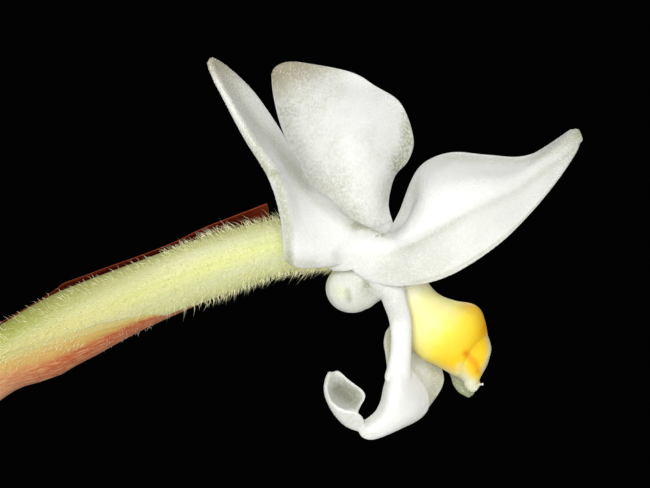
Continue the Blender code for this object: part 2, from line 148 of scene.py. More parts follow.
LIP_BLADE = [
    [(-0.05, -1.35, -5.6), (-0.1, -1.2, -6.45), (-0.4, -1.3, -7.3), (-0.6, -1.5, -8.0),
     (-1.0, -1.7, -8.6), (-1.65, -1.9, -9.05), (-2.05, -2.0, -9.45)],
    [(0.2, -1.6, -5.6), (0.05, -1.9, -6.4), (-0.2, -2.2, -7.35), (-0.35, -2.4, -8.2),
     (-0.8, -2.5, -8.95), (-1.45, -2.5, -9.4), (-2.0, -2.25, -9.7)],
    [(0.55, -1.7, -5.6), (0.35, -2.0, -6.4), (0.3, -2.3, -7.45), (0.2, -2.4, -8.35),
     (-0.2, -2.5, -9.05), (-0.9, -2.4, -9.6), (-1.75, -2.25, -9.95)],
    [(0.85, -1.6, -5.6), (0.7, -1.8, -6.35), (1.1, -1.8, -7.35), (1.2, -1.9, -8.3), (0.7, -2.1, -9.0),
     (-0.2, -2.2, -9.55), (-1.35, -2.15, -10.0)],
    [(1.05, -1.4, -5.6), (1.2, -1.4, -6.25), (2.0, -1.1, -7.2), (2.25, -1.1, -8.25), (1.7, -1.3, -8.95),
     (0.45, -1.6, -9.45), (-0.75, -1.9, -9.9)],
]
# Far margin, bowl, outside and near margin of the curled lobe
LIP_CURL = [
    [(-1.5, -1.9, -9.1), (-1.85, -1.5, -8.6), (-1.62, -1.2, -8.15), (-1.34, -1.0, -7.75),
     (-1.5, -0.9, -7.42), (-1.9, -0.85, -7.12), (-2.3, -0.85, -6.82), (-2.65, -0.9, -6.5),
     (-3.0, -1.0, -6.28)],
    [(-1.55, -1.9, -9.25), (-2.1, -1.5, -8.75), (-1.97, -0.5, -8.25), (-2.1, -0.3, -7.8),
     (-2.47, -0.3, -7.35), (-2.85, -0.5, -6.86), (-3.1, -0.9, -6.42)],
    [(-1.8, -2.1, -9.55), (-2.63, -2.1, -9.22), (-3.22, -2.1, -8.63), (-3.55, -1.9, -7.95),
     (-3.65, -1.6, -7.35), (-3.53, -1.3, -6.77), (-3.3, -1.1, -6.38)],
    [(-1.7, -2.4, -9.05), (-1.9, -2.75, -8.7), (-2.4, -2.8, -8.45), (-2.9, -2.8, -8.4),
     (-3.3, -2.65, -8.2), (-3.55, -2.3, -7.9), (-3.68, -1.9, -7.4), (-3.52, -1.5, -6.83),
     (-3.3, -1.2, -6.38)],
]
LIP_FAR_LOBE = [
    [(0.55, -0.9, -9.0), (0.5, 0.4, -8.1), (0.5, 1.3, -6.9), (0.45, 1.75, -5.7), (0.38, 1.9, -4.8),
     (0.7, 1.95, -3.75)],
    [(1.4, -0.6, -9.05), (1.7, 0.8, -8.0), (2.1, 1.8, -6.85), (2.15, 2.2, -5.7), (1.95, 2.3, -4.8),
     (1.35, 2.15, -3.7)],
    [(2.1, -0.5, -8.7), (3.05, 0.6, -7.95), (3.6, 1.3, -7.4), (3.8, 1.7, -6.85), (3.55, 2.0, -5.95),
     (2.75, 2.1, -5.1), (2.05, 2.05, -4.25)],
]
SAC_CENTRE = (-1.9, 0.0, -1.84)
SAC_RADII = (1.48, 1.3, 1.42)

# Sections: one edge (x, z), the other edge (x, z), half depth, distance behind the middle and,
# where the sides of a section are drawn back, how far in x and in z
LIP_NECK = [
    (-2.5, -0.75, -2.2, -2.85, 1.1, 0), (-1.6, -0.15, -1.15, -3.02, 1.35, 0),
    (-0.85, -0.05, -0.5, -2.6, 1.6, -0.1), (-0.1, -0.2, 0.15, -2.2, 1.2, -0.3),
]
LIP_CLAW = [
    (-0.5, -0.4, 0.8, -0.4, 0.9, -0.2), (-0.65, -1.1, 0.85, -0.95, 0.8, -0.5),
    (-0.62, -1.95, 0.85, -1.7, 0.6, -1.0), (-0.4, -2.75, 0.95, -2.55, 0.55, -1.3),
    (-0.1, -3.7, 1.15, -3.5, 0.5, -1.45), (-0.05, -4.95, 1.15, -4.9, 0.45, -1.5),
    (-0.25, -6.05, 1.1, -6.1, 0.5, -1.6), (-0.65, -7.1, 1.1, -7.3, 0.55, -1.8),
]
COLUMN = [
    (2.25, -0.95, 0.4, -1.15, 0.6, 0), (2.5, -1.6, 0.8, -2.05, 0.75, 0),
    (3.1, -2.2, 0.95, -3.15, 0.95, 0), (4.05, -2.55, 1.2, -4.3, 1.2, 0),
    (4.95, -2.7, 1.55, -5.15, 1.38, 0), (5.45, -3.05, 2.1, -5.75, 1.4, 0, -0.05, 0.05),
    (5.7, -3.65, 3.0, -6.2, 1.3, 0, -0.2, 0.2), (5.85, -4.35, 4.0, -6.75, 1.1, 0, -0.4, 0.35),
    (5.88, -4.9, 4.3, -6.8, 0.8, 0, -0.2, 0.2),
]
ANTHER_CAP = [
    (5.4, -3.7, 3.5, -5.9, 0.9, 0, -0.4, 0.4), (5.8, -4.35, 4.0, -6.65, 1.05, 0, -0.15, 0.12),
    (6.05, -5.1, 4.3, -6.9, 0.98, 0), (5.95, -5.7, 4.5, -7.1, 0.82, 0),
    (5.8, -6.15, 4.55, -7.3, 0.64, 0), (5.55, -6.6, 4.7, -7.5, 0.48, 0),
    (5.4, -6.95, 4.88, -7.62, 0.34, 0), (5.5, -7.25, 5.1, -7.72, 0.22, 0),
]
UNDER_LOBE = [
    (4.55, -6.0, 3.65, -6.35, 0.35, 0.55), (4.95, -6.7, 4.05, -6.85, 0.35, 1.1),
    (5.4, -7.3, 4.25, -7.3, 0.35, 1.35), (5.5, -7.75, 4.55, -7.7, 0.28, 1.4),
    (5.3, -8.05, 4.95, -8.0, 0.15, 1.4),
]


def mirrored(guides):
    """The same guides on the other side of the bloom's middle plane."""
    return [[(x, -y, z) for x, y, z in guide] for guide in guides]


HOOD = [HOOD_CREASE, HOOD_SHOULDER, HOOD_KEEL, *mirrored([HOOD_SHOULDER, HOOD_CREASE])]


# Shared shaping

def through(points, share):
    """Where a smooth curve through the points lies at each share of its length."""
    points = np.asarray(points, dtype=float)
    if points.ndim == 2:
        points = np.repeat(points[:, None], len(share), axis=1)
    last = len(points) - 1
    before = 2 * points[0] - points[1]
    after = 2 * points[-1] - points[-2]
    padded = np.concatenate([before[None], points, after[None]])
    place = np.clip(share, 0, 1) * last
    left = np.minimum(place.astype(int), last - 1)
    f = (place - left)[:, None]
    rank = np.arange(len(share))
    a, b, c, d = (padded[left + step, rank] for step in range(4))
    bend = (2 * a - 5 * b + 4 * c - d) * f ** 2 + (3 * b - a - 3 * c + d) * f ** 3
    return 0.5 * (2 * b + (c - a) * f + bend)


def skinned(guides, across, along):
    """Points of a sheet over its guides, at shares across and along it."""
    return through(np.stack([through(guide, along) for guide in guides]), across)


def value_at(places, pairs):
    known = np.array(pairs, dtype=float)
    return np.interp(places, known[:, 0], known[:, 1])


def soft_step(value, low, high):
    share = np.clip((value - low) / (high - low), 0, 1)
    return share * share * (3 - 2 * share)


def about_bloom(points, turn=0.0):
    """Moves points from the bloom's frame, turned about Z, to the object's frame."""
    cosine, sine = math.cos(turn), math.sin(turn)
    x = points[:, 0] * cosine - points[:, 1] * sine
    y = points[:, 0] * sine + points[:, 1] * cosine
    return np.column_stack([x, y, points[:, 2]]) + BLOOM


def read(items, key, width=3, kind=float):
    """One named value of every vertex or corner, as the rows of an array."""
    flat = np.empty(len(items) * width, dtype=kind)
    items.foreach_get(key, flat)
    return flat.reshape(-1, width)


def place_vertices(piece, points):
    piece.data.vertices.foreach_set("co", (points * MM).ravel())
    piece.data.update()


def bloom_points(piece):
    """Where the piece's vertices lie, in millimetres from the middle of the bloom."""
    return read(piece.data.vertices, "co") / MM - BLOOM


def facing_viewer(piece):
    """How far the surface at each vertex turns to the front, from -1 to 1."""
    return -read(piece.data.vertex_normals, "vector")[:, 1]


def mark(piece, name, values):
    """Keeps a mask on the piece's surface for its material."""
    layer = piece.data.attributes.new(name, "FLOAT", "POINT")
    layer.data.foreach_set("value", np.clip(values, 0, 1).astype(np.float32))


def only_these(*pieces):
    bpy.ops.object.select_all(action="DESELECT")
    for piece in pieces:
        piece.select_set(True)
    bpy.context.view_layer.objects.active = pieces[0]


def laid_grid(name, rows, columns, place):
    """A grid whose vertices go where place(across, along) puts them. Its UV map keeps both."""
    bpy.ops.object.select_all(action="DESELECT")
    bpy.ops.mesh.primitive_grid_add(x_subdivisions=columns, y_subdivisions=rows, size=1.0)
    piece = bpy.context.object
    piece.name = piece.data.name = name
    across, along, _ = (read(piece.data.vertices, "co") + 0.5).T
    place_vertices(piece, place(across, along))
    return piece


def tidy_closed(piece):
    """Merges seam and poles and turns the faces outward."""
    only_these(piece)
    bpy.ops.object.mode_set(mode="EDIT")
    bpy.ops.mesh.select_all(action="SELECT")
    bpy.ops.mesh.remove_doubles(threshold=0.002 * MM)
    bpy.ops.mesh.normals_make_consistent(inside=False)
    bpy.ops.object.mode_set(mode="OBJECT")
    return piece


def modify(piece, kind, weights=None, **settings):
    """Applies a modifier, at each vertex as strongly as its weight says."""
    if weights is not None:
        group = piece.vertex_groups.new(name="weights")
        for rank in np.flatnonzero(weights > 0.01).tolist():
            group.add([rank], float(weights[rank]), "REPLACE")
        settings["vertex_group"] = group.name
    only_these(piece)
    added = piece.modifiers.new(kind, kind)
    for key, value in settings.items():
        setattr(added, key, value)
    bpy.ops.object.modifier_apply(modifier=added.name)
    piece.vertex_groups.clear()


def refine(piece, levels=1):
    modify(piece, "SUBSURF", levels=levels, render_levels=levels)


def soften(piece, rounds, weights=None):
    """Evens out a surface, or the part of it that the weights give."""
    modify(piece, "SMOOTH", weights, factor=0.5, iterations=rounds)


def sheet_places(piece):
    """Each vertex's place across and along a laid sheet, from its UV map."""
    corner = read(piece.data.loops, "vertex_index", 1, np.int32)[:, 0]
    places = np.zeros((len(piece.data.vertices), 2))
    places[corner] = read(piece.data.uv_layers[0].data, "uv", 2)
    return np.clip(places, 0, 1).T


def fleshed(piece, thickness, margin_share, tip_share=1.0, base_share=1.0):
    """Gives a sheet its thickness, thinner toward both margins and, if asked, tip or base."""
    across, along = sheet_places(piece)
    weights = margin_share + (1 - margin_share) * np.sin(math.pi * across) ** 0.6
    weights *= 1 + (tip_share - 1) * along
    weights *= base_share + (1 - base_share) * soft_step(along, 0, 0.15)
    modify(piece, "SOLIDIFY", weights, thickness=thickness * MM, offset=0.0)


def adopt(piece, finish, slot, *nodes):
    """Gives a finished piece its material and its place in the frame."""
    piece.data.materials.append(finish)
    piece.data.shade_smooth()
    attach(piece, BODY)
    if nodes:
        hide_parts(*nodes)
    return piece


def surface_of(*pieces):
    """The joined surface of the pieces, for finding where a point would touch it."""
    corners, faces = [], []
    for piece in pieces:
        first = len(corners)
        corners += [vertex.co.copy() for vertex in piece.data.vertices]
        faces += [[first + corner for corner in face.vertices] for face in piece.data.polygons]
    return BVHTree.FromPolygons(corners, faces)


def settled(points, share, surface, direction, lift=0.03, run_up=6.0):
    """Lays points on the surface met along a direction, each as far as its share says."""
    laid = points.copy()
    for rank in np.flatnonzero(share > 0):
        start = Vector((points[rank] - run_up * direction) * MM)
        met = surface.ray_cast(start, Vector(direction))[0]
        if met is not None:
            goal = np.array(met) / MM - direction * lift
            laid[rank] += (goal - laid[rank]) * share[rank]
    return laid


def sheet(name, guides, rows, columns, thickness, turn=0.0, round_tip=0.05, lay=None,
          margin_share=0.45, base_share=1.0, free=(1.0, 1.0)):
    """A petal-like piece over guide curves, its tip rounded, marked toward its free margins."""
    def place(across, along):
        side = (2 * across - 1) ** 4
        reach = along * (1 - round_tip * side * along ** 4)
        points = about_bloom(skinned(guides, across, reach), turn)
        return lay(across, along, points) if lay else points
    piece = laid_grid(name, rows, columns, place)
    fleshed(piece, thickness, margin_share, base_share=base_share)
    refine(piece)
    across, along = sheet_places(piece)
    margin = np.where(across < 0.5, free[0] * (1 - 2 * across), free[1] * (2 * across - 1))
    mark(piece, "margin", margin * soft_step(along, 0.08, 0.2))
    return piece


def eased(along, strength):
    """Moves rows toward both ends, where a rounded end needs them."""
    return along - strength * np.sin(2 * math.pi * along) / (2 * math.pi)


def end_factor(along, start, end):
    """Share of the full radius near the rounded ends of a tube."""
    first = np.clip(1 - along / start, 0, 1)
    last = np.clip((along - 1 + end) / end, 0, 1)
    return np.sqrt(1 - first ** 2) * np.sqrt(1 - last ** 2)


def section_tube(name, sections, rows, columns, round_start=0.08, round_end=0.08):
    """A closed solid through sections given by two edges in the turned frame."""
    sections = [(*section, 0, 0)[:8] for section in sections]

    def place(across, along):
        along = eased(along, 0.85)
        x1, z1, x2, z2, half_depth, behind, drawn_x, drawn_z = through(sections, along).T
        size = end_factor(along, round_start, round_end)
        cosine, sine = np.cos(2 * math.pi * across), np.sin(2 * math.pi * across)
        x = (x1 + x2) / 2 + (x1 - x2) / 2 * size * cosine + drawn_x * sine ** 2
        z = (z1 + z2) / 2 + (z1 - z2) / 2 * size * cosine + drawn_z * sine ** 2
        return about_bloom(np.column_stack([x, behind + half_depth * size * sine, z]), HOOD_TURN)
    return tidy_closed(laid_grid(name, rows, columns, place))


def ball(name, centre, radii, rows, columns, turn=HOOD_TURN, pinch=0.0):
    """A closed rounded body, drawn in along its middle as far as the pinch says."""
    def place(across, along):
        around = 2 * math.pi * across
        tilt = math.pi * (along - 0.5)
        out = np.column_stack([np.cos(tilt) * np.cos(around), np.cos(tilt) * np.sin(around),
                               np.sin(tilt)])
        drawn_in = 1 - pinch * np.exp(-(out[:, 1] / 0.25) ** 2)
        return about_bloom(out * drawn_in[:, None] * radii + centre, turn)
    return tidy_closed(laid_grid(name, rows, columns, place))


def melted(name, parts, grain, smoothing):
    """Joins overlapping closed parts and melts them into one smooth body with their margins."""
    known = KDTree(sum(len(part.data.vertices) for part in parts))
    margins = []
    for part in parts:
        marked = part.data.attributes.get("margin")
        for vertex in part.data.vertices:
            known.insert(vertex.co, len(margins))
            margins.append(marked.data[vertex.index].value if marked else 0.0)
    known.balance()
    only_these(*parts)
    bpy.ops.object.join()
    piece = parts[0]
    piece.name = piece.data.name = name
    modify(piece, "REMESH", mode="VOXEL", voxel_size=grain * MM)
    soften(piece, smoothing)
    mark(piece, "margin", [margins[known.find(vertex.co)[1]] for vertex in piece.data.vertices])
    return piece


def seen_from_front(piece, ranks, run_up=20.0, leeway=0.1):
    """Which of the vertices have nothing of the piece before them."""
    surface = surface_of(piece)
    seen = np.zeros(len(piece.data.vertices), dtype=bool)
    for rank in ranks:
        goal = piece.data.vertices[rank].co
        met = surface.ray_cast(goal - Vector(BACK) * run_up * MM, Vector(BACK))[0]
        seen[rank] = met is not None and goal.y - met.y < leeway * MM
    return seen


def lay_on_fit(piece, zone, around):
    """Lays the seen part of a zone on one curved face fitted to the places around it."""
    near, far = 1.1, 1.6
    zone = zone * seen_from_front(piece, np.flatnonzero(zone > 0.01).tolist())
    points = bloom_points(piece)
    x, z = points[:, 0], points[:, 2]
    terms = np.column_stack([np.ones(len(x)), x, z, x * x, x * z, z * z])
    fit = np.linalg.lstsq(terms[around], points[around, 1], rcond=None)[0]
    off = terms @ fit - points[:, 1]
    points[:, 1] += zone * off * (1 - soft_step(np.abs(off), near, far))
    place_vertices(piece, points + BLOOM)


def near_line(points, line, width):
    """1 on a line of (x, z) places, falling softly to 0 at the given width."""
    flat = points[:, [0, 2]]
    closest = np.full(len(flat), np.inf)
    for start, end in zip(line[:-1], line[1:]):
        start, run = np.array(start), np.subtract(end, start)
        share = np.clip((flat - start) @ run / (run @ run), 0, 1)
        away = np.linalg.norm(flat - start - share[:, None] * run, axis=1)
        closest = np.minimum(closest, away)
    return 1 - soft_step(closest, 0, width)


def near_lines(points, *lines):
    """Sum of soft lines, each given as its strength, its width and its (x, z) places."""
    return sum(strength * near_line(points, line, width) for strength, width, line in lines)


def axis_at(places, angle):
    """Centre, outward direction, run and radius of the axis, at places along and angles round."""
    share = places / (len(AXIS) - 1)
    step = 0.0005
    flat = through(AXIS, share)
    run = through(AXIS, share + step) - through(AXIS, share - step)
    run /= np.linalg.norm(run, axis=1)[:, None]
    zero = np.zeros(len(places))
    centre = np.column_stack([flat[:, 0], zero, flat[:, 1]])
    normal = np.column_stack([-run[:, 1], zero, run[:, 0]])
    outward = normal * np.cos(angle)[:, None] + BACK * np.sin(angle)[:, None]
    direction = np.column_stack([run[:, 0], zero, run[:, 1]])
    return centre, outward, direction, value_at(places, AXIS_RADII)


# Shared shading. Helpers that are given no tree find it from a socket.

def is_socket(value):
    return isinstance(value, bpy.types.NodeSocket)


def node(tree, kind, values=None, **settings):
    """Adds a shader node, sets its options and sets or links its inputs."""
    made = tree.nodes.new(kind)
    for key, value in settings.items():
        setattr(made, key, value)
    for socket, value in (values or {}).items():
        if is_socket(value):
            tree.links.new(value, made.inputs[socket])
        else:
            made.inputs[socket].default_value = value
    return made


def maths(operation, *values):
    """Result of a Math node on sockets and numbers."""
    tree = next(value.id_data for value in values if is_socket(value))
    return node(tree, "ShaderNodeMath", dict(enumerate(values)), operation=operation).outputs[0]


def times(first, second):
    return maths("MULTIPLY", first, second)


def blended(share, first, second):
    """The first colour, with the second over it as far as the share says."""
    first, second = (tint if is_socket(tint) else (*tint, 1.0) for tint in (first, second))
    return node(share.id_data, "ShaderNodeMix", {0: share, 6: first, 7: second},
                data_type="RGBA").outputs[2]


def ranged(value, low, high, to_low=0.0, to_high=1.0):
    """Soft step from one value at low to the other at high."""
    ends = {"Value": value, "From Min": low, "From Max": high, "To Min": to_low, "To Max": to_high}
    return node(value.id_data, "ShaderNodeMapRange", ends,
                interpolation_type="SMOOTHSTEP").outputs["Result"]


def ramped(value, stops):
    """Colour of a value on a ramp of (position, colour) stops."""
    ramp = node(value.id_data, "ShaderNodeValToRGB", {"Fac": value})
    elements = ramp.color_ramp.elements
    while len(elements) < len(stops):
        elements.new(0.5)
    for element, (position, tint) in zip(elements, stops):
        element.position = position
        element.color = (*tint, 1.0)
    return ramp.outputs["Color"]


def coordinates(tree, kind):
    return node(tree, "ShaderNodeTexCoord").outputs[kind]


def noise(place, scale, detail=2.0, roughness=0.5):
    return node(place.id_data, "ShaderNodeTexNoise",
                {"Vector": place, "Scale": scale, "Detail": detail, "Roughness": roughness}
                ).outputs["Fac"]


def per_mm(size):
    """Texture scale whose features are about this many millimetres."""
    return 1.0 / (size * MM)


def shared_group(name, labels, effect):
    """A node group whose effect takes the labelled numbers and returns its outputs by name."""
    tree = bpy.data.node_groups.new(name, "ShaderNodeTree")
    for label in labels:
        tree.interface.new_socket(label, in_out="INPUT", socket_type="NodeSocketFloat")
    results = effect(tree, node(tree, "NodeGroupInput").outputs)
    for label in results:
        tree.interface.new_socket(label, in_out="OUTPUT", socket_type="NodeSocketFloat")
    node(tree, "NodeGroupOutput", results)
    return tree


def crystal_cells(tree, given):
    """Tiny rounded cells of petal skin: their height, and a mask of those that glint."""
    look_up = {"Vector": coordinates(tree, "Object"), "Scale": given["Scale"]}
    cells = node(tree, "ShaderNodeTexVoronoi", look_up, feature="SMOOTH_F1").outputs
    picked = node(tree, "ShaderNodeTexVoronoi", look_up, feature="F1").outputs
    pick = node(tree, "ShaderNodeSeparateColor", {"Color": picked["Color"]}).outputs[0]
    chosen = maths("GREATER_THAN", pick, maths("SUBTRACT", 1.0, given["Glinting"]))
    middle = maths("LESS_THAN", picked["Distance"], 0.42)
    return {"Height": maths("SUBTRACT", 1.0, cells["Distance"]), "Glint": times(chosen, middle)}


def soft_clouds(tree, given):
    """Cloudy variation between 0 and 1."""
    cloud = noise(coordinates(tree, "Object"), given["Scale"], 4.0, 0.55)
    return {"Mask": ranged(cloud, given["Low"], given["High"])}


def split_place(tree, given):
    """Place across and along a piece, from its UV map."""
    split = node(tree, "ShaderNodeSeparateXYZ", {"Vector": coordinates(tree, "UV")}).outputs
    return {"Across": split["X"], "Along": split["Y"]}


def long_streaks(tree, given):
    """Noise drawn out along a piece, with so many features across and along it."""
    counts = node(tree, "ShaderNodeCombineXYZ",
                  {"X": given["Across"], "Y": given["Along"], "Z": 1.0}).outputs["Vector"]
    drawn_out = node(tree, "ShaderNodeMapping",
                     {"Vector": coordinates(tree, "UV"), "Scale": counts}).outputs["Vector"]
    return {"Streaks": noise(drawn_out, 1.0, given["Detail"])}


CELLS = shared_group("crystal cells", ["Scale", "Glinting"], crystal_cells)
MOTTLE = shared_group("mottle", ["Scale", "Low", "High"], soft_clouds)
SHEET_PLACE = shared_group("sheet place", [], split_place)
STREAKS = shared_group("long streaks", ["Across", "Along", "Detail"], long_streaks)


class Finish:
    """A material in the making: its tree, its shader and the colour laid on so far."""

    def __init__(self, name, **constants):
        self.material = bpy.data.materials.new(name)
        self.material.use_nodes = True
        self.tree = self.material.node_tree
        self.shader = self.tree.nodes["Principled BSDF"]
        self.colour = None
        for label, value in constants.items():
            self.shader.inputs[label.replace("_", " ")].default_value = value

    def mask(self, name):
        """A mask kept on the piece by mark()."""
        return node(self.tree, "ShaderNodeAttribute", attribute_name=name).outputs["Fac"]

    def placed(self, group, **values):
        """Outputs of a shared effect, placed in this material with its own values."""
        return node(self.tree, "ShaderNodeGroup", values, node_tree=group).outputs

    def cells(self, size, glinting=0.0):
        """Height and glint of skin cells of this size in millimetres."""
        return self.placed(CELLS, Scale=per_mm(size), Glinting=glinting)[:2]

    def mottle(self, size, low, high):
        """Clouds of this size in millimetres, from none at low noise to full at high."""
        return self.placed(MOTTLE, Scale=per_mm(size), Low=low, High=high)[0]

    def sheet_place(self):
        return self.placed(SHEET_PLACE)[:2]

    def streaks(self, across, along, detail=3.0):
        return self.placed(STREAKS, Across=across, Along=along, Detail=detail)[0]

    def lay(self, share, tint):
        """Lays a tint over the colour, as far as the share says."""
        self.colour = blended(share, self.colour, tint)

    def drive(self, label, value):
        self.tree.links.new(value, self.shader.inputs[label])

    def done(self, height, distance, strength):
        """Links the colour, and a bump whose heights are so many millimetres."""
        bump = node(self.tree, "ShaderNodeBump",
                    {"Height": height, "Distance": distance * MM, "Strength": strength})
        self.drive("Normal", bump.outputs["Normal"])
        self.drive("Base Color", self.colour)
        return self.material


FLESH_DEPTH = 0.6 * MM
# Painted highlight laid on free margins and on outlines that turn from the viewer
PAINTED_RIM_LIGHT = (0.95, 0.96, 0.93)


def petal_finish(name, light=(0.87, 0.88, 0.86), shade=(0.43, 0.437, 0.32), shading=0.2,
                 glinting=0.22, warm=(0.39, 0.35, 0.245), graininess=0.22):
    """White petal skin of crystalline cells, with painted shade from masks on the pieces, painted
    glints and painted rim highlights.
    """
    skin = Finish(name, Subsurface_Weight=0.35, Subsurface_Scale=FLESH_DEPTH,
                  Subsurface_Radius=(0.8, 0.85, 0.75), IOR=1.38)
    margin, shaded = skin.mask("margin"), skin.mask("shade")
    unshaded = maths("SUBTRACT", 1.0, shaded)
    cloudy = times(skin.mottle(2.2, 0.42, 0.68), shading)
    uneven = maths("MULTIPLY_ADD", skin.mottle(0.16, 0.35, 0.65), graininess, 1 - graininess / 2)
    glint = skin.cells(0.085, glinting)[1]
    skin.colour = light
    skin.lay(times(maths("ADD", shaded, cloudy), uneven), shade)
    skin.lay(skin.mask("warm"), warm)
    skin.lay(times(glint, 0.42), (0.97, 0.98, 0.96))
    # Painted shade just inside the margins, then painted highlights on the margins and where the
    # surface turns from the viewer
    skin.lay(times(ranged(margin, 0.84, 0.9, 0.0, 0.45), skin.mask("rim_shade")), shade)
    skin.lay(times(ranged(margin, 0.92, 0.97, 0.0, 0.7), unshaded), PAINTED_RIM_LIGHT)
    facing = node(skin.tree, "ShaderNodeLayerWeight", {"Blend": 0.5}).outputs["Facing"]
    skin.lay(times(ranged(facing, 0.66, 0.8, 0.0, 0.6), unshaded), PAINTED_RIM_LIGHT)
    skin.drive("Roughness", ranged(glint, 0.0, 1.0, 0.5, 0.22))
    return skin.done(skin.cells(0.07)[0], 0.035, 0.6)


def column_finish():
    """Fleshy column: cream at its base, partly painted lighter there where the petal's shadow falls,
    yellow below, orange at the shoulder.
    """
    flesh = Finish("column flesh", Subsurface_Weight=0.3, Subsurface_Scale=FLESH_DEPTH, IOR=1.4,
                   Subsurface_Radius=(1.0, 0.7, 0.2), Roughness=0.45, Specular_IOR_Level=0.3)
    ripe = maths("ADD", flesh.mask("ripe"), times(flesh.mottle(1.2, 0.35, 0.7), 0.06))
    flesh.colour = ramped(ripe, [
        (0.12, (0.94, 0.95, 0.80)), (0.36, (0.86, 0.82, 0.40)), (0.56, (0.95, 0.87, 0.36)),
        (0.74, (0.97, 0.78, 0.08)), (0.93, (0.93, 0.63, 0.02))])
    flesh.lay(flesh.mask("orange"), (0.78, 0.30, 0.0))
    flesh.lay(flesh.mask("pale"), (0.80, 0.80, 0.58))
    return flesh.done(flesh.cells(0.08)[0], 0.015, 0.35)


def stalk_finish():
    """Green stalk skin, browned in clouds and long streaks."""
    skin = Finish("stalk skin", Subsurface_Weight=0.2, Subsurface_Scale=FLESH_DEPTH,
                  Subsurface_Radius=(0.6, 0.9, 0.3), Roughness=0.5, IOR=1.4)
    skin.colour = blended(skin.mottle(2.5, 0.35, 0.7), (0.30, 0.34, 0.14), (0.36, 0.27, 0.14))
    skin.lay(ranged(skin.streaks(34.0, 5.0), 0.42, 0.66, 0.0, 0.6), (0.42, 0.16, 0.09))
    return skin.done(skin.cells(0.09)[0], 0.02, 0.4)


def ovary_finish():
    """Pale green ovary skin in long soft bands, darker olive toward its upper edge partly as painted
    shade, with painted glints, white where the petals spring from it.
    """
    skin = Finish("ovary skin", Subsurface_Weight=0.2, Subsurface_Scale=FLESH_DEPTH,
                  Subsurface_Radius=(0.7, 0.9, 0.3), Roughness=0.5, IOR=1.4)
    across, along = skin.sheet_place()
    lines = skin.streaks(40.0, 7.0)
    height, glint = skin.cells(0.11, 0.05)
    drift = maths("MULTIPLY_ADD", lines, 0.05, -0.025)
    skin.colour = ramped(maths("ADD", across, drift), [
        (0.0, (0.50, 0.50, 0.16)), (0.25, (0.55, 0.59, 0.21)), (0.5, (0.57, 0.61, 0.25)),
        (0.60, (0.61, 0.65, 0.33)), (0.68, (0.64, 0.68, 0.42)), (0.75, (0.66, 0.71, 0.24)),
        (0.83, (0.70, 0.72, 0.44)), (0.90, (0.62, 0.63, 0.29)), (0.97, (0.50, 0.50, 0.16))])
    skin.lay(ranged(lines, 0.48, 0.68, 0.0, 0.5), (0.52, 0.62, 0.18))
    skin.lay(times(skin.mottle(2.5, 0.35, 0.7), 0.2), (0.80, 0.80, 0.50))
    skin.lay(times(glint, 0.6), (0.88, 0.89, 0.66))
    aged = ranged(along, 0.66, 0.2, 0.0, 0.85)
    skin.lay(times(aged, ranged(across, 0.85, 0.74, 0.45, 1.0)), (0.50, 0.40, 0.14))
    # Darker olive on the upper side near the stalk: partly the skin's own greener tone, partly painted
    # shade between the hairs
    greener_and_hair_shaded = ranged(along, 0.55, 0.3, 0.0, 0.85)
    skin.lay(times(greener_and_hair_shaded, ranged(across, 0.76, 0.86)), (0.38, 0.41, 0.08))
    skin.lay(ranged(along, 0.94, 1.0), (0.86, 0.88, 0.80))
    return skin.done(height, 0.03, 0.4)


def bract_finish():
    """Thin brick-red bract with long veins, greener toward its lower margin; its lower part is painted
    lighter and more orange, partly its own colour and partly painted light, with painted glints.
    """
    skin = Finish("bract skin", Subsurface_Weight=0.15, Subsurface_Scale=0.4 * MM, Roughness=0.5,
                  Subsurface_Radius=(1.0, 0.3, 0.15), Specular_IOR_Level=0.25)
    across, along = skin.sheet_place()
    lines = skin.streaks(30.0, 4.0, 4.0)
    height, glint = skin.cells(0.09, 0.12)
    # lit: the lower part, painted lighter and more orange, partly its own colour and partly painted
    # light
    vein, lit = ranged(lines, 0.45, 0.62), skin.mask("lower")
    skin.colour = blended(skin.mottle(1.0, 0.35, 0.65), (0.13, 0.013, 0.0035),
                          (0.085, 0.008, 0.002))
    skin.lay(times(vein, 0.3), (0.24, 0.035, 0.01))
    skin.lay(lit, (0.46, 0.105, 0.03))
    stroke = times(ranged(skin.streaks(90.0, 26.0), 0.46, 0.64), lit)
    skin.lay(times(stroke, 0.8), (0.66, 0.33, 0.15))
    skin.lay(times(ranged(along, 0.46, 0.16, 0.0, 0.65), lit), (0.66, 0.36, 0.19))
    skin.lay(times(glint, times(lit, 0.3)), (0.85, 0.60, 0.42))
    green = maths("ADD", skin.mask("green"), maths("MULTIPLY_ADD", lines, 0.5, -0.25))
    skin.lay(ranged(green, 0.05, 0.5), (0.56, 0.35, 0.10))
    skin.lay(ranged(green, 0.6, 1.1), (0.53, 0.48, 0.19))
    skin.lay(ranged(across, 0.045, 0.012, 0.0, 0.75), (0.34, 0.055, 0.016))
    return skin.done(maths("ADD", height, vein), 0.03, 0.5)


def hair_finish(name, tint):
    """Clear hairs that glow faintly, painted light standing in for the light they carry along them."""
    hair = Finish(name, Roughness=0.35, IOR=1.45, Subsurface_Weight=0.2,
                  Subsurface_Scale=0.2 * MM, Emission_Strength=0.3, Emission_Color=(*tint, 1.0))
    darker = tuple(0.82 * part for part in tint)
    hair.drive("Base Color", blended(hair.mottle(0.4, 0.3, 0.7), tint, darker))
    return hair.material


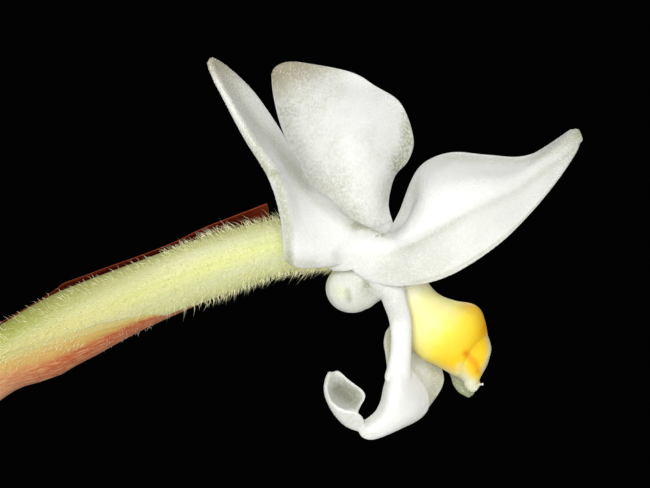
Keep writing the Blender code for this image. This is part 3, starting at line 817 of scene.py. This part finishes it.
def glaze_finish():
    """Celadon glaze in soft clouds of two greens with dark specks, over a bare clay foot."""
    glaze = Finish("celadon glaze", IOR=1.5)
    place = coordinates(glaze.tree, "Object")
    height = node(glaze.tree, "ShaderNodeSeparateXYZ", {"Vector": place}).outputs["Z"]
    foot_edge = maths("MULTIPLY_ADD", noise(place, per_mm(4.0), 3.0), 0.8 * MM, 0.8 * MM)
    glazed = ranged(maths("SUBTRACT", height, foot_edge), 0.0, 0.3 * MM)
    clouds = glaze.mottle(9.0, 0.35, 0.68)
    glaze.colour = blended(clouds, (0.40, 0.51, 0.43), (0.50, 0.59, 0.50))
    glaze.lay(times(glaze.mottle(0.5, 0.66, 0.72), 0.35), (0.20, 0.24, 0.18))
    clay = blended(clouds, (0.46, 0.33, 0.22), (0.55, 0.41, 0.29))
    glaze.colour = blended(glazed, clay, glaze.colour)
    glaze.drive("Roughness", ranged(glazed, 0.0, 1.0, 0.8, 0.16))
    glaze.drive("Coat Weight", ranged(glazed, 0.0, 1.0, 0.0, 0.6))
    return glaze.done(clouds, 0.15, 0.25)


def water_finish():
    still = Finish("still water", Transmission_Weight=1.0, IOR=1.333, Roughness=0.02)
    ripple = noise(coordinates(still.tree, "Object"), per_mm(5.0))
    still.colour = blended(ripple, (0.90, 0.95, 0.94), (0.95, 0.98, 0.97))
    return still.done(ripple, 0.1, 0.2)


# The bloom. Lines on it are (x, z) places in its own frame.

CREASE = [(0.45, 0.42), (0.95, 0.62), (1.7, 0.95), (2.6, 1.5), (3.9, 2.2), (5.5, 2.95),
          (7.2, 3.7), (8.9, 4.85), (10.5, 6.05)]


def far_petal():
    """Petal on the far side, under the hood."""
    petal = sheet("far_petal", mirrored(NEAR_PETAL), 60, 40, 0.26, HOOD_TURN, round_tip=0.015)
    tidy_closed(petal)
    mark(petal, "shade", 0.2 * soft_step(bloom_points(petal)[:, 0], 2.0, 9.5))
    return adopt(petal, petal_finish("far petal skin", shading=0.16), "white_petal", "petal_far")


def sepal_shade(points):
    """Upper part, groove, flange, strip, rolled rim, lower corner and seam of the near sepal."""
    high = 0.07 * soft_step(points[:, 2], 4.0, 8.5) * (points[:, 0] < -2.0)
    seam = [(-1.65, 1.62), (-0.9, 1.5), (-0.1, 1.22)]
    return high + near_lines(
        points,
        (0.32 - 1.1 * high, 0.5, [(-9.3, 10.35), (-7.9, 8.4), (-6.7, 6.7), (-5.45, 5.05),
                                  (-4.65, 4.0), (-3.8, 3.0), (-2.75, 2.15), (-1.7, 1.55)]),
        (0.15, 0.5, [(-6.2, 6.6), (-5.3, 5.6), (-4.6, 4.6)]),
        (0.36 - 3.0 * high, 0.9, [(-8.9, 10.2), (-7.4, 8.5), (-6.2, 6.85), (-5.1, 5.2),
                                  (-4.3, 4.0)]),
        (0.78 - 7.0 * high, 0.75, [(-8.6, 8.9), (-7.4, 6.6), (-6.4, 4.6)]),
        (0.8, 0.5, [(-5.3, -0.3), (-5.35, 1.2), (-5.48, 2.4), (-5.8, 3.8), (-5.95, 4.3)]),
        (0.35, 0.6, [(-5.2, -0.6), (-4.4, -0.5), (-4.0, -0.5)]),
        (0.55, 0.35, seam), (0.35, 0.9, seam))


def hood_shade(points):
    """Crest, band under the crease, low part of the petal, its root and the tip."""
    x = points[:, 0]
    under_crease = [(place, height - 0.2) for place, height in CREASE]
    rooted = soft_step(x, -1.2, 0.3) * (1 - soft_step(x, 2.6, 4.6))
    petal = soft_step(value_at(x, CREASE) - points[:, 2], 0.0, 0.5)
    return near_lines(
        points,
        (0.42 * soft_step(x, 1.5, 4.5), 0.55, [
            (0.9, 1.6), (1.5, 2.9), (2.1, 4.5), (3.7, 5.45), (5.7, 5.4), (7.7, 5.3), (9.2, 5.8),
            (10.8, 6.8)]),
        (0.14, 0.55, under_crease), (0.12, 0.25, under_crease),
        (0.1, 1.2, [(0.0, -0.8), (1.5, -0.9), (3.2, -0.4), (4.6, 0.4)])) \
        + petal * (0.2 * rooted + 0.16 * (1 - soft_step(x, 6.0, 9.0))) \
        + 0.16 * soft_step(x, 6.0, 10.0) + 0.42 * soft_step(x, 9.8, 11.2)


def smooth_heart(piece):
    """Evens out the heart of the bloom, where sepal, petal and hood meet, and the crease's root."""
    points = bloom_points(piece)
    middle, reach = (-0.9, 0.05), (1.6, 1.15)
    from_heart = np.linalg.norm((points[:, [0, 2]] - middle) / reach, axis=1)
    inner = 1 - soft_step(from_heart, 0.75, 1.35)
    flat_front = facing_viewer(piece) > 0.4
    around = (from_heart > 0.95) & (from_heart < 1.6) & flat_front & (points[:, 1] < -1.4)
    for _ in range(3):
        lay_on_fit(piece, inner, around)
        soften(piece, 10, inner * soft_step(-bloom_points(piece)[:, 1], 1.4, 1.7))
    front_side = soft_step(facing_viewer(piece), -0.2, 0.3)
    soften(piece, 8, near_line(bloom_points(piece), CREASE[:5], 0.4) * front_side * (1 - inner))


def near_sepal_petal_and_hood(far_petal):
    """Near sepal, near petal and hood, grown together at the heart of the bloom."""
    petal = sheet("near petal", NEAR_PETAL, 60, 40, 0.28, HOOD_TURN, round_tip=0.015,
                  margin_share=0.6, free=(0.0, 1.0))
    near_side, far_side = surface_of(petal), surface_of(far_petal)

    def on_petals(across, along, points):
        points = settled(points, 1 - soft_step(across, 0.0, 0.08), near_side, BEHIND_HOOD, -0.05)
        return settled(points, soft_step(across, 0.92, 1.0), far_side, -BEHIND_HOOD)
    vault = sheet("hood", HOOD, 72, 96, 0.26, HOOD_TURN, round_tip=0.004, lay=on_petals,
                  margin_share=0.6, free=(0.0, 0.0))
    heart = ball("heart", (-0.95, 0.0, -0.05), (1.35, 1.5, 0.85), 24, 32)
    front = surface_of(petal, vault, heart)

    def on_bloom(across, along, points):
        return settled(points, 1 - soft_step(along, 0.0, 0.15), front, BACK, -0.05)
    sepal = sheet("near sepal", NEAR_SEPAL, 72, 48, 0.3, round_tip=0.02, lay=on_bloom,
                  margin_share=0.6, base_share=0.3, free=(1.0, 0.0))
    filling = ball("filling", (-0.6, -1.15, 0.45), (0.95, 0.7, 0.6), 20, 28, turn=0.0)
    chin = ball("chin", (-2.45, -1.9, -0.56), (0.85, 0.5, 0.34), 20, 28, turn=0.0)
    piece = melted("near_sepal_petal_and_hood", [sepal, petal, vault, heart, filling, chin],
                   grain=0.078, smoothing=5)
    smooth_heart(piece)
    points = bloom_points(piece)
    mark(piece, "shade", sepal_shade(points) + hood_shade(points))
    mark(piece, "warm", 0.9 * soft_step(points[:, 2], 8.4, 10.7) * (points[:, 0] < -2.0)
         + 0.2 * soft_step(points[:, 0], 10.2, 11.4))
    # Where painted shade runs just inside the margins: on the hood and petal, away from the heart
    mark(piece, "rim_shade", soft_step(points[:, 0], 0.5, 2.0))
    adopt(piece, petal_finish("bloom skin", (0.89, 0.90, 0.88), shading=0.08), "white_petal",
          "lateral_sepal_near", "petal_near", "dorsal_sepal")


def far_sepal():
    far = sheet("far_lateral_sepal", FAR_SEPAL, 60, 44, 0.3, round_tip=0.015)
    points = bloom_points(far)
    # Painted shade toward the edges, left out of the lit middle, a little more along the left side and
    # more along the right margin where it curls away
    lit_middle = np.exp(-((points[:, 0] + 1.4) / 2.5) ** 2 - ((points[:, 2] - 7.4) / 4.5) ** 2)
    mark(far, "shade", 0.3 - 0.3 * lit_middle + near_lines(
        points,
        (0.08, 1.3, [(-6.2, 9.5), (-5.6, 7.0), (-4.5, 5.0), (-2.4, 3.0), (-0.8, 1.7)]),
        (0.55, 0.75, [(1.45, 8.0), (1.4, 6.2), (0.75, 5.0)])))
    mark(far, "warm", soft_step(points[:, 2] - 0.5 * points[:, 0], 11.0, 13.5))
    finish = petal_finish("far sepal skin", (0.89, 0.90, 0.88), glinting=0.374, graininess=0.8)
    adopt(far, finish, "white_petal", "lateral_sepal_far")


def collar(guides, turn, share):
    """Base of a sheet, thicker than the sheet where it starts and thinner where it ends."""
    piece = laid_grid("collar", 24, 32, lambda across, along:
                      about_bloom(skinned(guides, across, along * share), turn) - 0.1 * BACK)
    fleshed(piece, 0.5, margin_share=0.4, tip_share=0.3)
    return piece


def even_shade(piece, share):
    mark(piece, "shade", np.full(len(piece.data.vertices), share))


def far_heart():
    """Root of the far sepal and far petal, where they grow from the ovary's end."""
    parts = [ball("far_heart", (-0.75, 0.55, 0.0), (1.1, 1.25, 0.75), 24, 32),
             collar(FAR_SEPAL, 0.0, 0.15), collar(mirrored(NEAR_PETAL), HOOD_TURN, 0.18)]
    root = melted("far_heart", parts, grain=0.07, smoothing=30)
    even_shade(root, 0.25)
    adopt(root, petal_finish("far heart skin", shading=0.1, glinting=0.066), "white_petal")


def mark_lip(piece):
    """Masks of the lip: cup and outside of the curl, sac with its swellings, neck and rims."""
    points = bloom_points(piece)
    x, z = points[:, 0], points[:, 2]
    seen = soft_step(facing_viewer(piece), 0.0, 0.4)
    cup_rim = [(-3.3, -7.1), (-3.2, -7.45), (-2.99, -7.98), (-2.68, -8.3), (-2.25, -8.5),
               (-1.76, -8.5), (-1.29, -8.7)]
    over_rim = z - value_at(x, cup_rim)
    curled = soft_step(-x, 0.5, 1.4) * (z < -6.0)
    bowl = near_line(points, [(-2.5, -7.4), (-1.9, -7.8)], 0.9)
    in_cup = (0.3 + 0.75 * bowl) * curled * soft_step(over_rim, 0.0, 0.12) * seen
    right_side = soft_step(x, 1.3, 2.1) * soft_step(z, -5.9, -6.6)
    from_sac = np.linalg.norm(points - np.array([-1.95, -0.4, -1.84]), axis=1)
    sac_body = (1 - soft_step(from_sac, 1.3, 2.1)) * (0.4 + 0.6 * soft_step(x, -3.2, -2.0))
    mark(piece, "shade", in_cup + 0.3 * curled * soft_step(-over_rim, 0.0, 0.12)
         + 0.04 * right_side + 0.35 * sac_body + near_lines(
             points,
             (0.1, 0.5, [(0.9, -9.35), (2.2, -8.7), (2.75, -7.9)]),
             (0.4, 0.28, [(-1.2, -1.15), (-1.05, -1.65)]),
             (0.4, 0.3, [(-2.1, -1.95), (-2.0, -2.4)]),
             (0.4, 0.9, [(-0.9, -1.8), (0.2, -2.4), (0.5, -3.2)])))
    mark(piece, "warm", 0.3 * near_line(points, [(-2.7, -1.9), (-2.4, -2.1)], 0.55)
         + 0.08 * sac_body)


def lip():
    """Sac, neck, claw, spread blade and curled near lobe as one smooth piece, and the far lobe."""
    body = melted("lip body", [ball("sac", SAC_CENTRE, SAC_RADII, 32, 48, pinch=0.05),
                               section_tube("neck", LIP_NECK, 20, 32),
                               section_tube("claw", LIP_CLAW, 40, 24)], grain=0.05, smoothing=24)
    blade = sheet("lip blade", LIP_BLADE, 24, 24, 0.34, HOOD_TURN)
    curl = sheet("lip curl", LIP_CURL, 28, 28, 0.28, HOOD_TURN)
    piece = melted("lip_sac_claw_and_blade", [body, blade, curl], grain=0.05, smoothing=6)
    folds = near_lines(bloom_points(piece),
                       (1, 0.9, [(0.9, -5.6), (1.3, -6.4), (1.3, -7.4), (1.1, -8.4)]),
                       (1, 0.6, [(-0.4, -7.2), (-0.8, -8.2), (-1.6, -9.0)]))
    soften(piece, 40, np.clip(folds, 0, 1))
    mark_lip(piece)
    adopt(piece, petal_finish("lip skin", (0.90, 0.91, 0.885), shade=(0.31, 0.315, 0.245),
                              shading=0.05, glinting=0.066, warm=(0.72, 0.78, 0.36)),
          "lip_white", "lip")
    lobe = sheet("lip_far_lobe", LIP_FAR_LOBE, 40, 30, 0.3, HOOD_TURN, round_tip=0.1)
    points = bloom_points(lobe)
    middle = soft_step(points[:, 0], 0.7, 1.2) * (1 - soft_step(points[:, 0], 2.1, 2.9))
    mark(lobe, "shade", (0.62 + 0.2 * soft_step(points[:, 2], -7.0, -5.5)) * (1 - 0.95 * middle))
    adopt(lobe, petal_finish("far lobe skin", shade=(0.42, 0.43, 0.29), shading=0.3,
                             glinting=0.088), "lip_white", "lip")


def mark_column(piece):
    """Masks of the column's colours: ripe yellow, orange creases and pale tip."""
    points = bloom_points(piece)
    x, z = points[:, 0], points[:, 2]
    mark(piece, "ripe", 0.133 * x - 0.11 * z - 0.24)
    mark(piece, "orange", near_lines(
        points,
        (0.45, 0.7, [(4.6, -2.75), (5.35, -3.1), (5.6, -3.9), (5.75, -4.5)]),
        (0.3, 0.35, [(5.6, -3.95), (5.0, -5.0), (4.5, -5.45)]),
        (0.7, 0.35, [(4.45, -5.45), (4.95, -5.95), (5.2, -6.45)])))
    to_tip = soft_step(-z - 0.35 * (x - 4.5), 6.3, 7.3)
    mark(piece, "pale", 0.95 * to_tip + near_lines(
        points,
        (0.35 * (z < -5.9), 0.5, [(4.2, -6.2), (4.5, -6.9), (4.9, -7.4)]),
        (0.75, 0.4, [(5.85, -4.6), (5.95, -5.1), (5.85, -5.8), (5.55, -6.4)])))


def column_and_anther():
    """Column and anther cap, the small lobe under their end and the pollen on it."""
    skin = column_finish()
    column = section_tube("column_body", COLUMN, 64, 64, 0.06, 0.03)
    anther = section_tube("anther_beak", ANTHER_CAP, 64, 56, 0.05, 0.08)
    for piece, slot, cad in ((column, "column_cream", "column"),
                             (anther, "anther_yellow", "anther_cap")):
        refine(piece)
        mark_column(piece)
        adopt(piece, skin, slot, cad)
    lobe = section_tube("under_lobe", UNDER_LOBE, 30, 24, 0.1, 0.25)
    refine(lobe)
    even_shade(lobe, 1.0)
    adopt(lobe, petal_finish("under lobe skin", shade=(0.38, 0.4, 0.24), glinting=0.11),
          "column_cream", "column")
    draw = np.random.default_rng(3)
    grains = []
    for spot in draw.normal((5.36, -0.1, -7.22), (0.06, 0.09, 0.06), (9, 3)):
        size = draw.uniform(0.04, 0.075)
        grains.append(ball("pollen grain", spot, (size, size, size), 8, 12))
    pollen = melted("pollen_grains", grains, grain=0.012, smoothing=1)
    adopt(pollen, petal_finish("pollen skin", shading=0.1), "anther_yellow")


# Ovary, stalk, bract and their hairs

def fullness(places, angle):
    """How far the ovary swells upward, beyond its round section, near the stalk."""
    swelling = value_at(places, [(6.0, 0.0), (6.5, 0.26), (7.7, 0.26), (8.3, 0.14), (9.2, 0.0)])
    return swelling * np.maximum(np.cos(angle), 0) ** 2


def axis_piece(name, span, columns, ribs, twist, ends):
    """A stretch of the axis as a closed tube, with low ribs that wind round it."""
    def place(across, along):
        along = eased(along, 0.6)
        places = span[0] + (span[1] - span[0]) * along
        angle = 2 * math.pi * across
        centre, outward, _, radius = axis_at(places, angle)
        wave = 1 + ribs * np.cos(3 * (angle + twist * along)) + 0.4 * ribs * np.cos(7 * angle)
        reach = (radius * wave + fullness(places, angle)) * end_factor(along, *ends)
        return centre + outward * reach[:, None]
    return tidy_closed(laid_grid(name, 160, columns, place))


def bract():
    """Sheath lifted at its upper margin, sagging below and pressed close at its lower one."""
    def on_axis(along):
        return BRACT_SPAN[0] + (BRACT_SPAN[1] - BRACT_SPAN[0]) * along

    def place(across, along):
        places = on_axis(along)
        upper = value_at(places, BRACT_UPPER)
        lower = value_at(places, BRACT_LOWER)
        angle = np.radians(upper + (lower - upper) * across)
        centre, outward, _, radius = axis_at(places, angle)
        rise = value_at(places, BRACT_RISE) * (1 - across) ** 1.5
        sag = value_at(places, BRACT_SAG) * np.maximum(-np.cos(angle), 0) ** 2
        pressed = 1.4 - 0.9 * soft_step(places, 8.1, 8.6)
        close = BRACT_CLEARANCE * (1 - pressed * across ** 6)
        return centre + outward * (radius + close + rise + sag)[:, None]
    piece = laid_grid("red_bract", 110, 50, place)
    fleshed(piece, 2 * BRACT_HALF_THICK, margin_share=0.25)
    refine(piece)
    across, along = sheet_places(piece)
    width = value_at(on_axis(along), [(5.6, 0.24), (7.6, 0.23), (8.4, 0.17), (8.9, 0.07),
                                      (9.3, 0.01), (10.94, 0.01)])
    mark(piece, "green", 1 - soft_step((1 - across) / width, 0, 1))
    # Lower part, which bract_finish paints lighter and more orange, partly as painted light
    mark(piece, "lower", soft_step(across, 0.45, 0.7))
    adopt(piece, bract_finish(), "bract_skin", "bract")


def unit(rows):
    return rows / np.linalg.norm(rows, axis=1)[:, None]


def hair_coat(name, roots, outward, lean, lengths, thickness, finish, slot):
    """Fine tapering hairs, each a bent three-sided spike rooted in the skin."""
    side = unit(np.cross(outward, lean))
    other = np.cross(outward, side)
    root_depth, bend = 0.06, 0.6
    corners = []
    for level, width in ((-root_depth, 1.0), (0.5, 0.75), (1.0, 0.0)):
        lean_share = bend * max(level, 0) ** 2
        middle = roots + (outward * level + lean * lean_share) * lengths[:, None]
        for turn in (0, 2 * math.pi / 3, 4 * math.pi / 3):
            around = side * math.cos(turn) + other * math.sin(turn)
            corners.append(middle + around * thickness * width)
    # One corner is enough for the tip
    del corners[7:]
    points = np.stack(corners, axis=1).reshape(-1, 3) * MM
    first = np.arange(len(roots))[:, None] * len(corners)
    faces = [first + [2, 1, 0]]
    for one, two in ((0, 1), (1, 2), (2, 0)):
        faces += [first + [one, two, 3 + two], first + [one, 3 + two, 3 + one],
                  first + [3 + one, 3 + two, 6]]
    mesh = bpy.data.meshes.new(name)
    mesh.from_pydata(points.tolist(), [], np.concatenate(faces).tolist())
    piece = bpy.data.objects.new(name, mesh)
    bpy.context.scene.collection.objects.link(piece)
    adopt(piece, finish, slot)


# How many degrees the hairs of the ovary reach into the bract's green margin, which angles are
# toward the viewer, where hairs grow thinner, and which ones form the ovary's upper outline
GREEN_REACH = 34
VIEWER_SIDE = (230, 310)
OUTLINE = (328, 14)


def axis_hairs(name, span, count, length, finish, slot, seed, angles=(0, 360), on_bract=False,
               thickness=0.012):
    """Hairs on the skin of stalk, ovary or bract, between two angles, leaning back to the stalk."""
    draw = np.random.default_rng(seed)
    places = draw.uniform(*span, count)
    angle = draw.uniform(*angles, count)
    reach = 0 if on_bract else GREEN_REACH * (places < 8.3)
    covered = (angle > value_at(places, BRACT_UPPER) + 4) & (places < BRACT_SPAN[1]) \
        & (angle < value_at(places, BRACT_LOWER) - reach) & (places > BRACT_SPAN[0])
    to_viewer = (angle > VIEWER_SIDE[0]) & (angle < VIEWER_SIDE[1]) & (places > 8.3)
    upward = (angle > OUTLINE[0]) | (angle < OUTLINE[1])
    along_rim = (places > 6.5) & (places < 9.5) & upward
    shorter = np.where(upward & (places > 6.5) & (places < 10.0), 0.75, 1.0)
    kept = (covered == on_bract) & (draw.random(count) >= np.where(along_rim, 0.9, 0.4 * to_viewer))
    places, angle, shorter = places[kept], np.radians(angle[kept]), shorter[kept]
    centre, outward, direction, radius = axis_at(places, angle)
    lift = BRACT_CLEARANCE + BRACT_HALF_THICK if on_bract else 0.0
    roots = centre + outward * (radius + lift + fullness(places, angle))[:, None]
    wild = unit(outward + 0.22 * draw.normal(size=outward.shape))
    lean = -direction + 0.35 * draw.normal(size=outward.shape)
    lengths = length * shorter * draw.gamma(9.0, 1 / 9.0, len(places)).clip(0.5, 1.7)
    hair_coat(name, roots, wild, lean, lengths, thickness, finish, slot)


def stalk_ovary_and_hairs():
    stalk = axis_piece("flower_stalk", (0.0, NODE_ON_AXIS + 0.1), 32, 0.012, 1.0, (0.01, 0.01))
    adopt(stalk, stalk_finish(), "stalk_skin", "stalk")
    ovary = axis_piece("green_ovary", (NODE_ON_AXIS, 13.0), 64, 0.02, 1.6, (0.01, 0.03))
    adopt(ovary, ovary_finish(), "ovary_skin", "ovary")
    white_hair = hair_finish("white hairs", (0.92, 0.88, 0.52))
    rusty_hair = hair_finish("rusty hairs", (0.80, 0.58, 0.46))
    axis_hairs("ovary_hairs", (6.6, 12.3), 7200, 0.37, white_hair, "ovary_skin", 7)
    axis_hairs("stalk_hairs", (3.2, 6.2), 4000, 0.34, white_hair, "stalk_skin", 11,
               thickness=0.014)
    axis_hairs("bract_hairs", (6.2, 9.0), 600, 0.12, rusty_hair, "bract_skin", 5,
               angles=(90, 250), on_bract=True)


# Vase and water. The vase's rings are (radius, height), up outside and down inside.

VASE_FOOT = [(8.1, 0.0), (8.1, 0.02), (8.45, 0.15)]
VASE_OUTSIDE = [(8.6, 0.6), (9.5, 2.0), (10.9, 4.6), (12.2, 8.2), (12.9, 12.0), (12.85, 15.0),
                (11.9, 18.5), (10.2, 22.0), (8.0, 25.4), (6.3, 28.3), (5.3, 30.9), (4.98, 33.4),
                (5.1, 36.0), (5.7, 38.2), (6.5, 39.4)]
VASE_RIM = [(6.6, 39.75), (6.35, 40.0), (5.6, 39.95), (5.1, 39.5)]
VASE_INSIDE = [(4.35, 38.0), (3.6, 36.0), (3.4, 33.6), (3.75, 30.9), (4.75, 28.4), (6.45, 25.6),
               (8.6, 22.0), (10.3, 18.5), (11.25, 15.0), (11.3, 12.0), (10.6, 8.2), (9.2, 4.6),
               (7.6, 2.7), (6.5, 2.5)]


def disc(name, radius, vertices, height=0.0):
    bpy.ops.object.select_all(action="DESELECT")
    bpy.ops.mesh.primitive_circle_add(vertices=vertices, radius=radius * MM, fill_type="NGON",
                                      location=(0, 0, height * MM))
    piece = bpy.context.object
    piece.name = piece.data.name = name
    return piece


def vase():
    """Drawn up from its foot, ring by ring, over the rim and down again inside."""
    rings = VASE_FOOT + VASE_OUTSIDE + VASE_RIM + VASE_INSIDE
    piece = disc("bud_vase", rings[0][0], 64)
    bpy.ops.object.mode_set(mode="EDIT")
    bpy.ops.mesh.select_mode(type="FACE")
    bpy.ops.mesh.select_all(action="SELECT")
    for (radius, height), (next_radius, next_height) in zip(rings[:-1], rings[1:]):
        rise = (0, 0, (next_height - height) * MM)
        bpy.ops.mesh.extrude_region_move(TRANSFORM_OT_translate={"value": rise})
        ratio = next_radius / radius
        bpy.ops.transform.resize(value=(ratio, ratio, 1.0))
    bpy.ops.mesh.inset(thickness=0.6 * MM)
    bpy.ops.object.mode_set(mode="OBJECT")
    tidy_closed(piece)
    refine(piece, 2)
    adopt(piece, glaze_finish(), "celadon_glaze", "vase")


def water():
    """The solid itself, which only gets its finish."""
    held = frame["nodes"]["water"]
    held.data.materials.clear()
    held.data.materials.append(water_finish())


# Setting

PAPER = (0.78, 0.77, 0.75)
BACKDROP = (0.0008, 0.0008, 0.0009, 1.0)
FLOOR_REACH = 420.0


def floor():
    """Round pale floor that fades out at its far edge."""
    piece = disc("pale_floor", FLOOR_REACH, 96, -0.02)
    paper = Finish("pale paper floor", Roughness=0.75)
    place = coordinates(paper.tree, "Object")
    darker = tuple(0.96 * part for part in PAPER)
    paper.drive("Base Color", blended(noise(place, per_mm(2.0)), PAPER, darker))
    from_middle = node(paper.tree, "ShaderNodeVectorMath", {0: place},
                       operation="LENGTH").outputs["Value"]
    paper.drive("Alpha", ranged(from_middle, 0.55 * FLOOR_REACH * MM, FLOOR_REACH * MM, 1.0, 0.0))
    piece.data.materials.append(paper.material)


def world():
    """Even soft light from all round, before a dark plain backdrop."""
    made = bpy.data.worlds.new("studio")
    bpy.context.scene.world = made
    made.use_nodes = True
    tree = made.node_tree
    tree.nodes.clear()
    soft = node(tree, "ShaderNodeBackground", {"Color": (1.0, 1.0, 0.95, 1.0), "Strength": 0.2})
    plain = node(tree, "ShaderNodeBackground", {"Color": BACKDROP, "Strength": 1.0})
    seen = node(tree, "ShaderNodeLightPath").outputs["Is Camera Ray"]
    mix = node(tree, "ShaderNodeMixShader", {0: seen, 1: soft.outputs[0], 2: plain.outputs[0]})
    node(tree, "ShaderNodeOutputWorld", {"Surface": mix.outputs[0]})


def in_scene(name, data, place):
    made = bpy.data.objects.new(name, data)
    bpy.context.scene.collection.objects.link(made)
    made.location = Vector(place) * MM
    return made


def soft_light(name, place, size, power, tint=(1.0, 1.0, 1.0)):
    data = bpy.data.lights.new(name, "AREA")
    data.color = tint
    data.shape = "DISK"
    data.size = size * MM
    data.energy = power
    lamp = in_scene(name, data, place)
    aim = Vector(BLOOM) * MM - lamp.location
    lamp.rotation_euler = aim.to_track_quat("-Z", "Y").to_euler()


def camera():
    """Level view at the photograph's angle, 150 mm in front of the bloom."""
    data = bpy.data.cameras.new("camera")
    data.lens = 150.0
    data.sensor_width = 36.0
    data.clip_start = 0.01
    data.clip_end = 10.0
    made = in_scene("camera", data, (26.67, -150.0, 57.61))
    made.rotation_euler = (math.radians(90), 0, 0)
    bpy.context.scene.camera = made


camera()
near_sepal_petal_and_hood(far_petal())
far_sepal()
far_heart()
lip()
column_and_anther()
stalk_ovary_and_hairs()
bract()
vase()
water()
floor()
world()
soft_light("key", (5, -240, 95), 130, 0.5)
soft_light("fill", (170, -160, 30), 140, 0.06, (1.0, 1.0, 0.93))
soft_light("back", (60, 160, 190), 120, 0.12)
bpy.context.scene.view_settings.view_transform = "Standard"
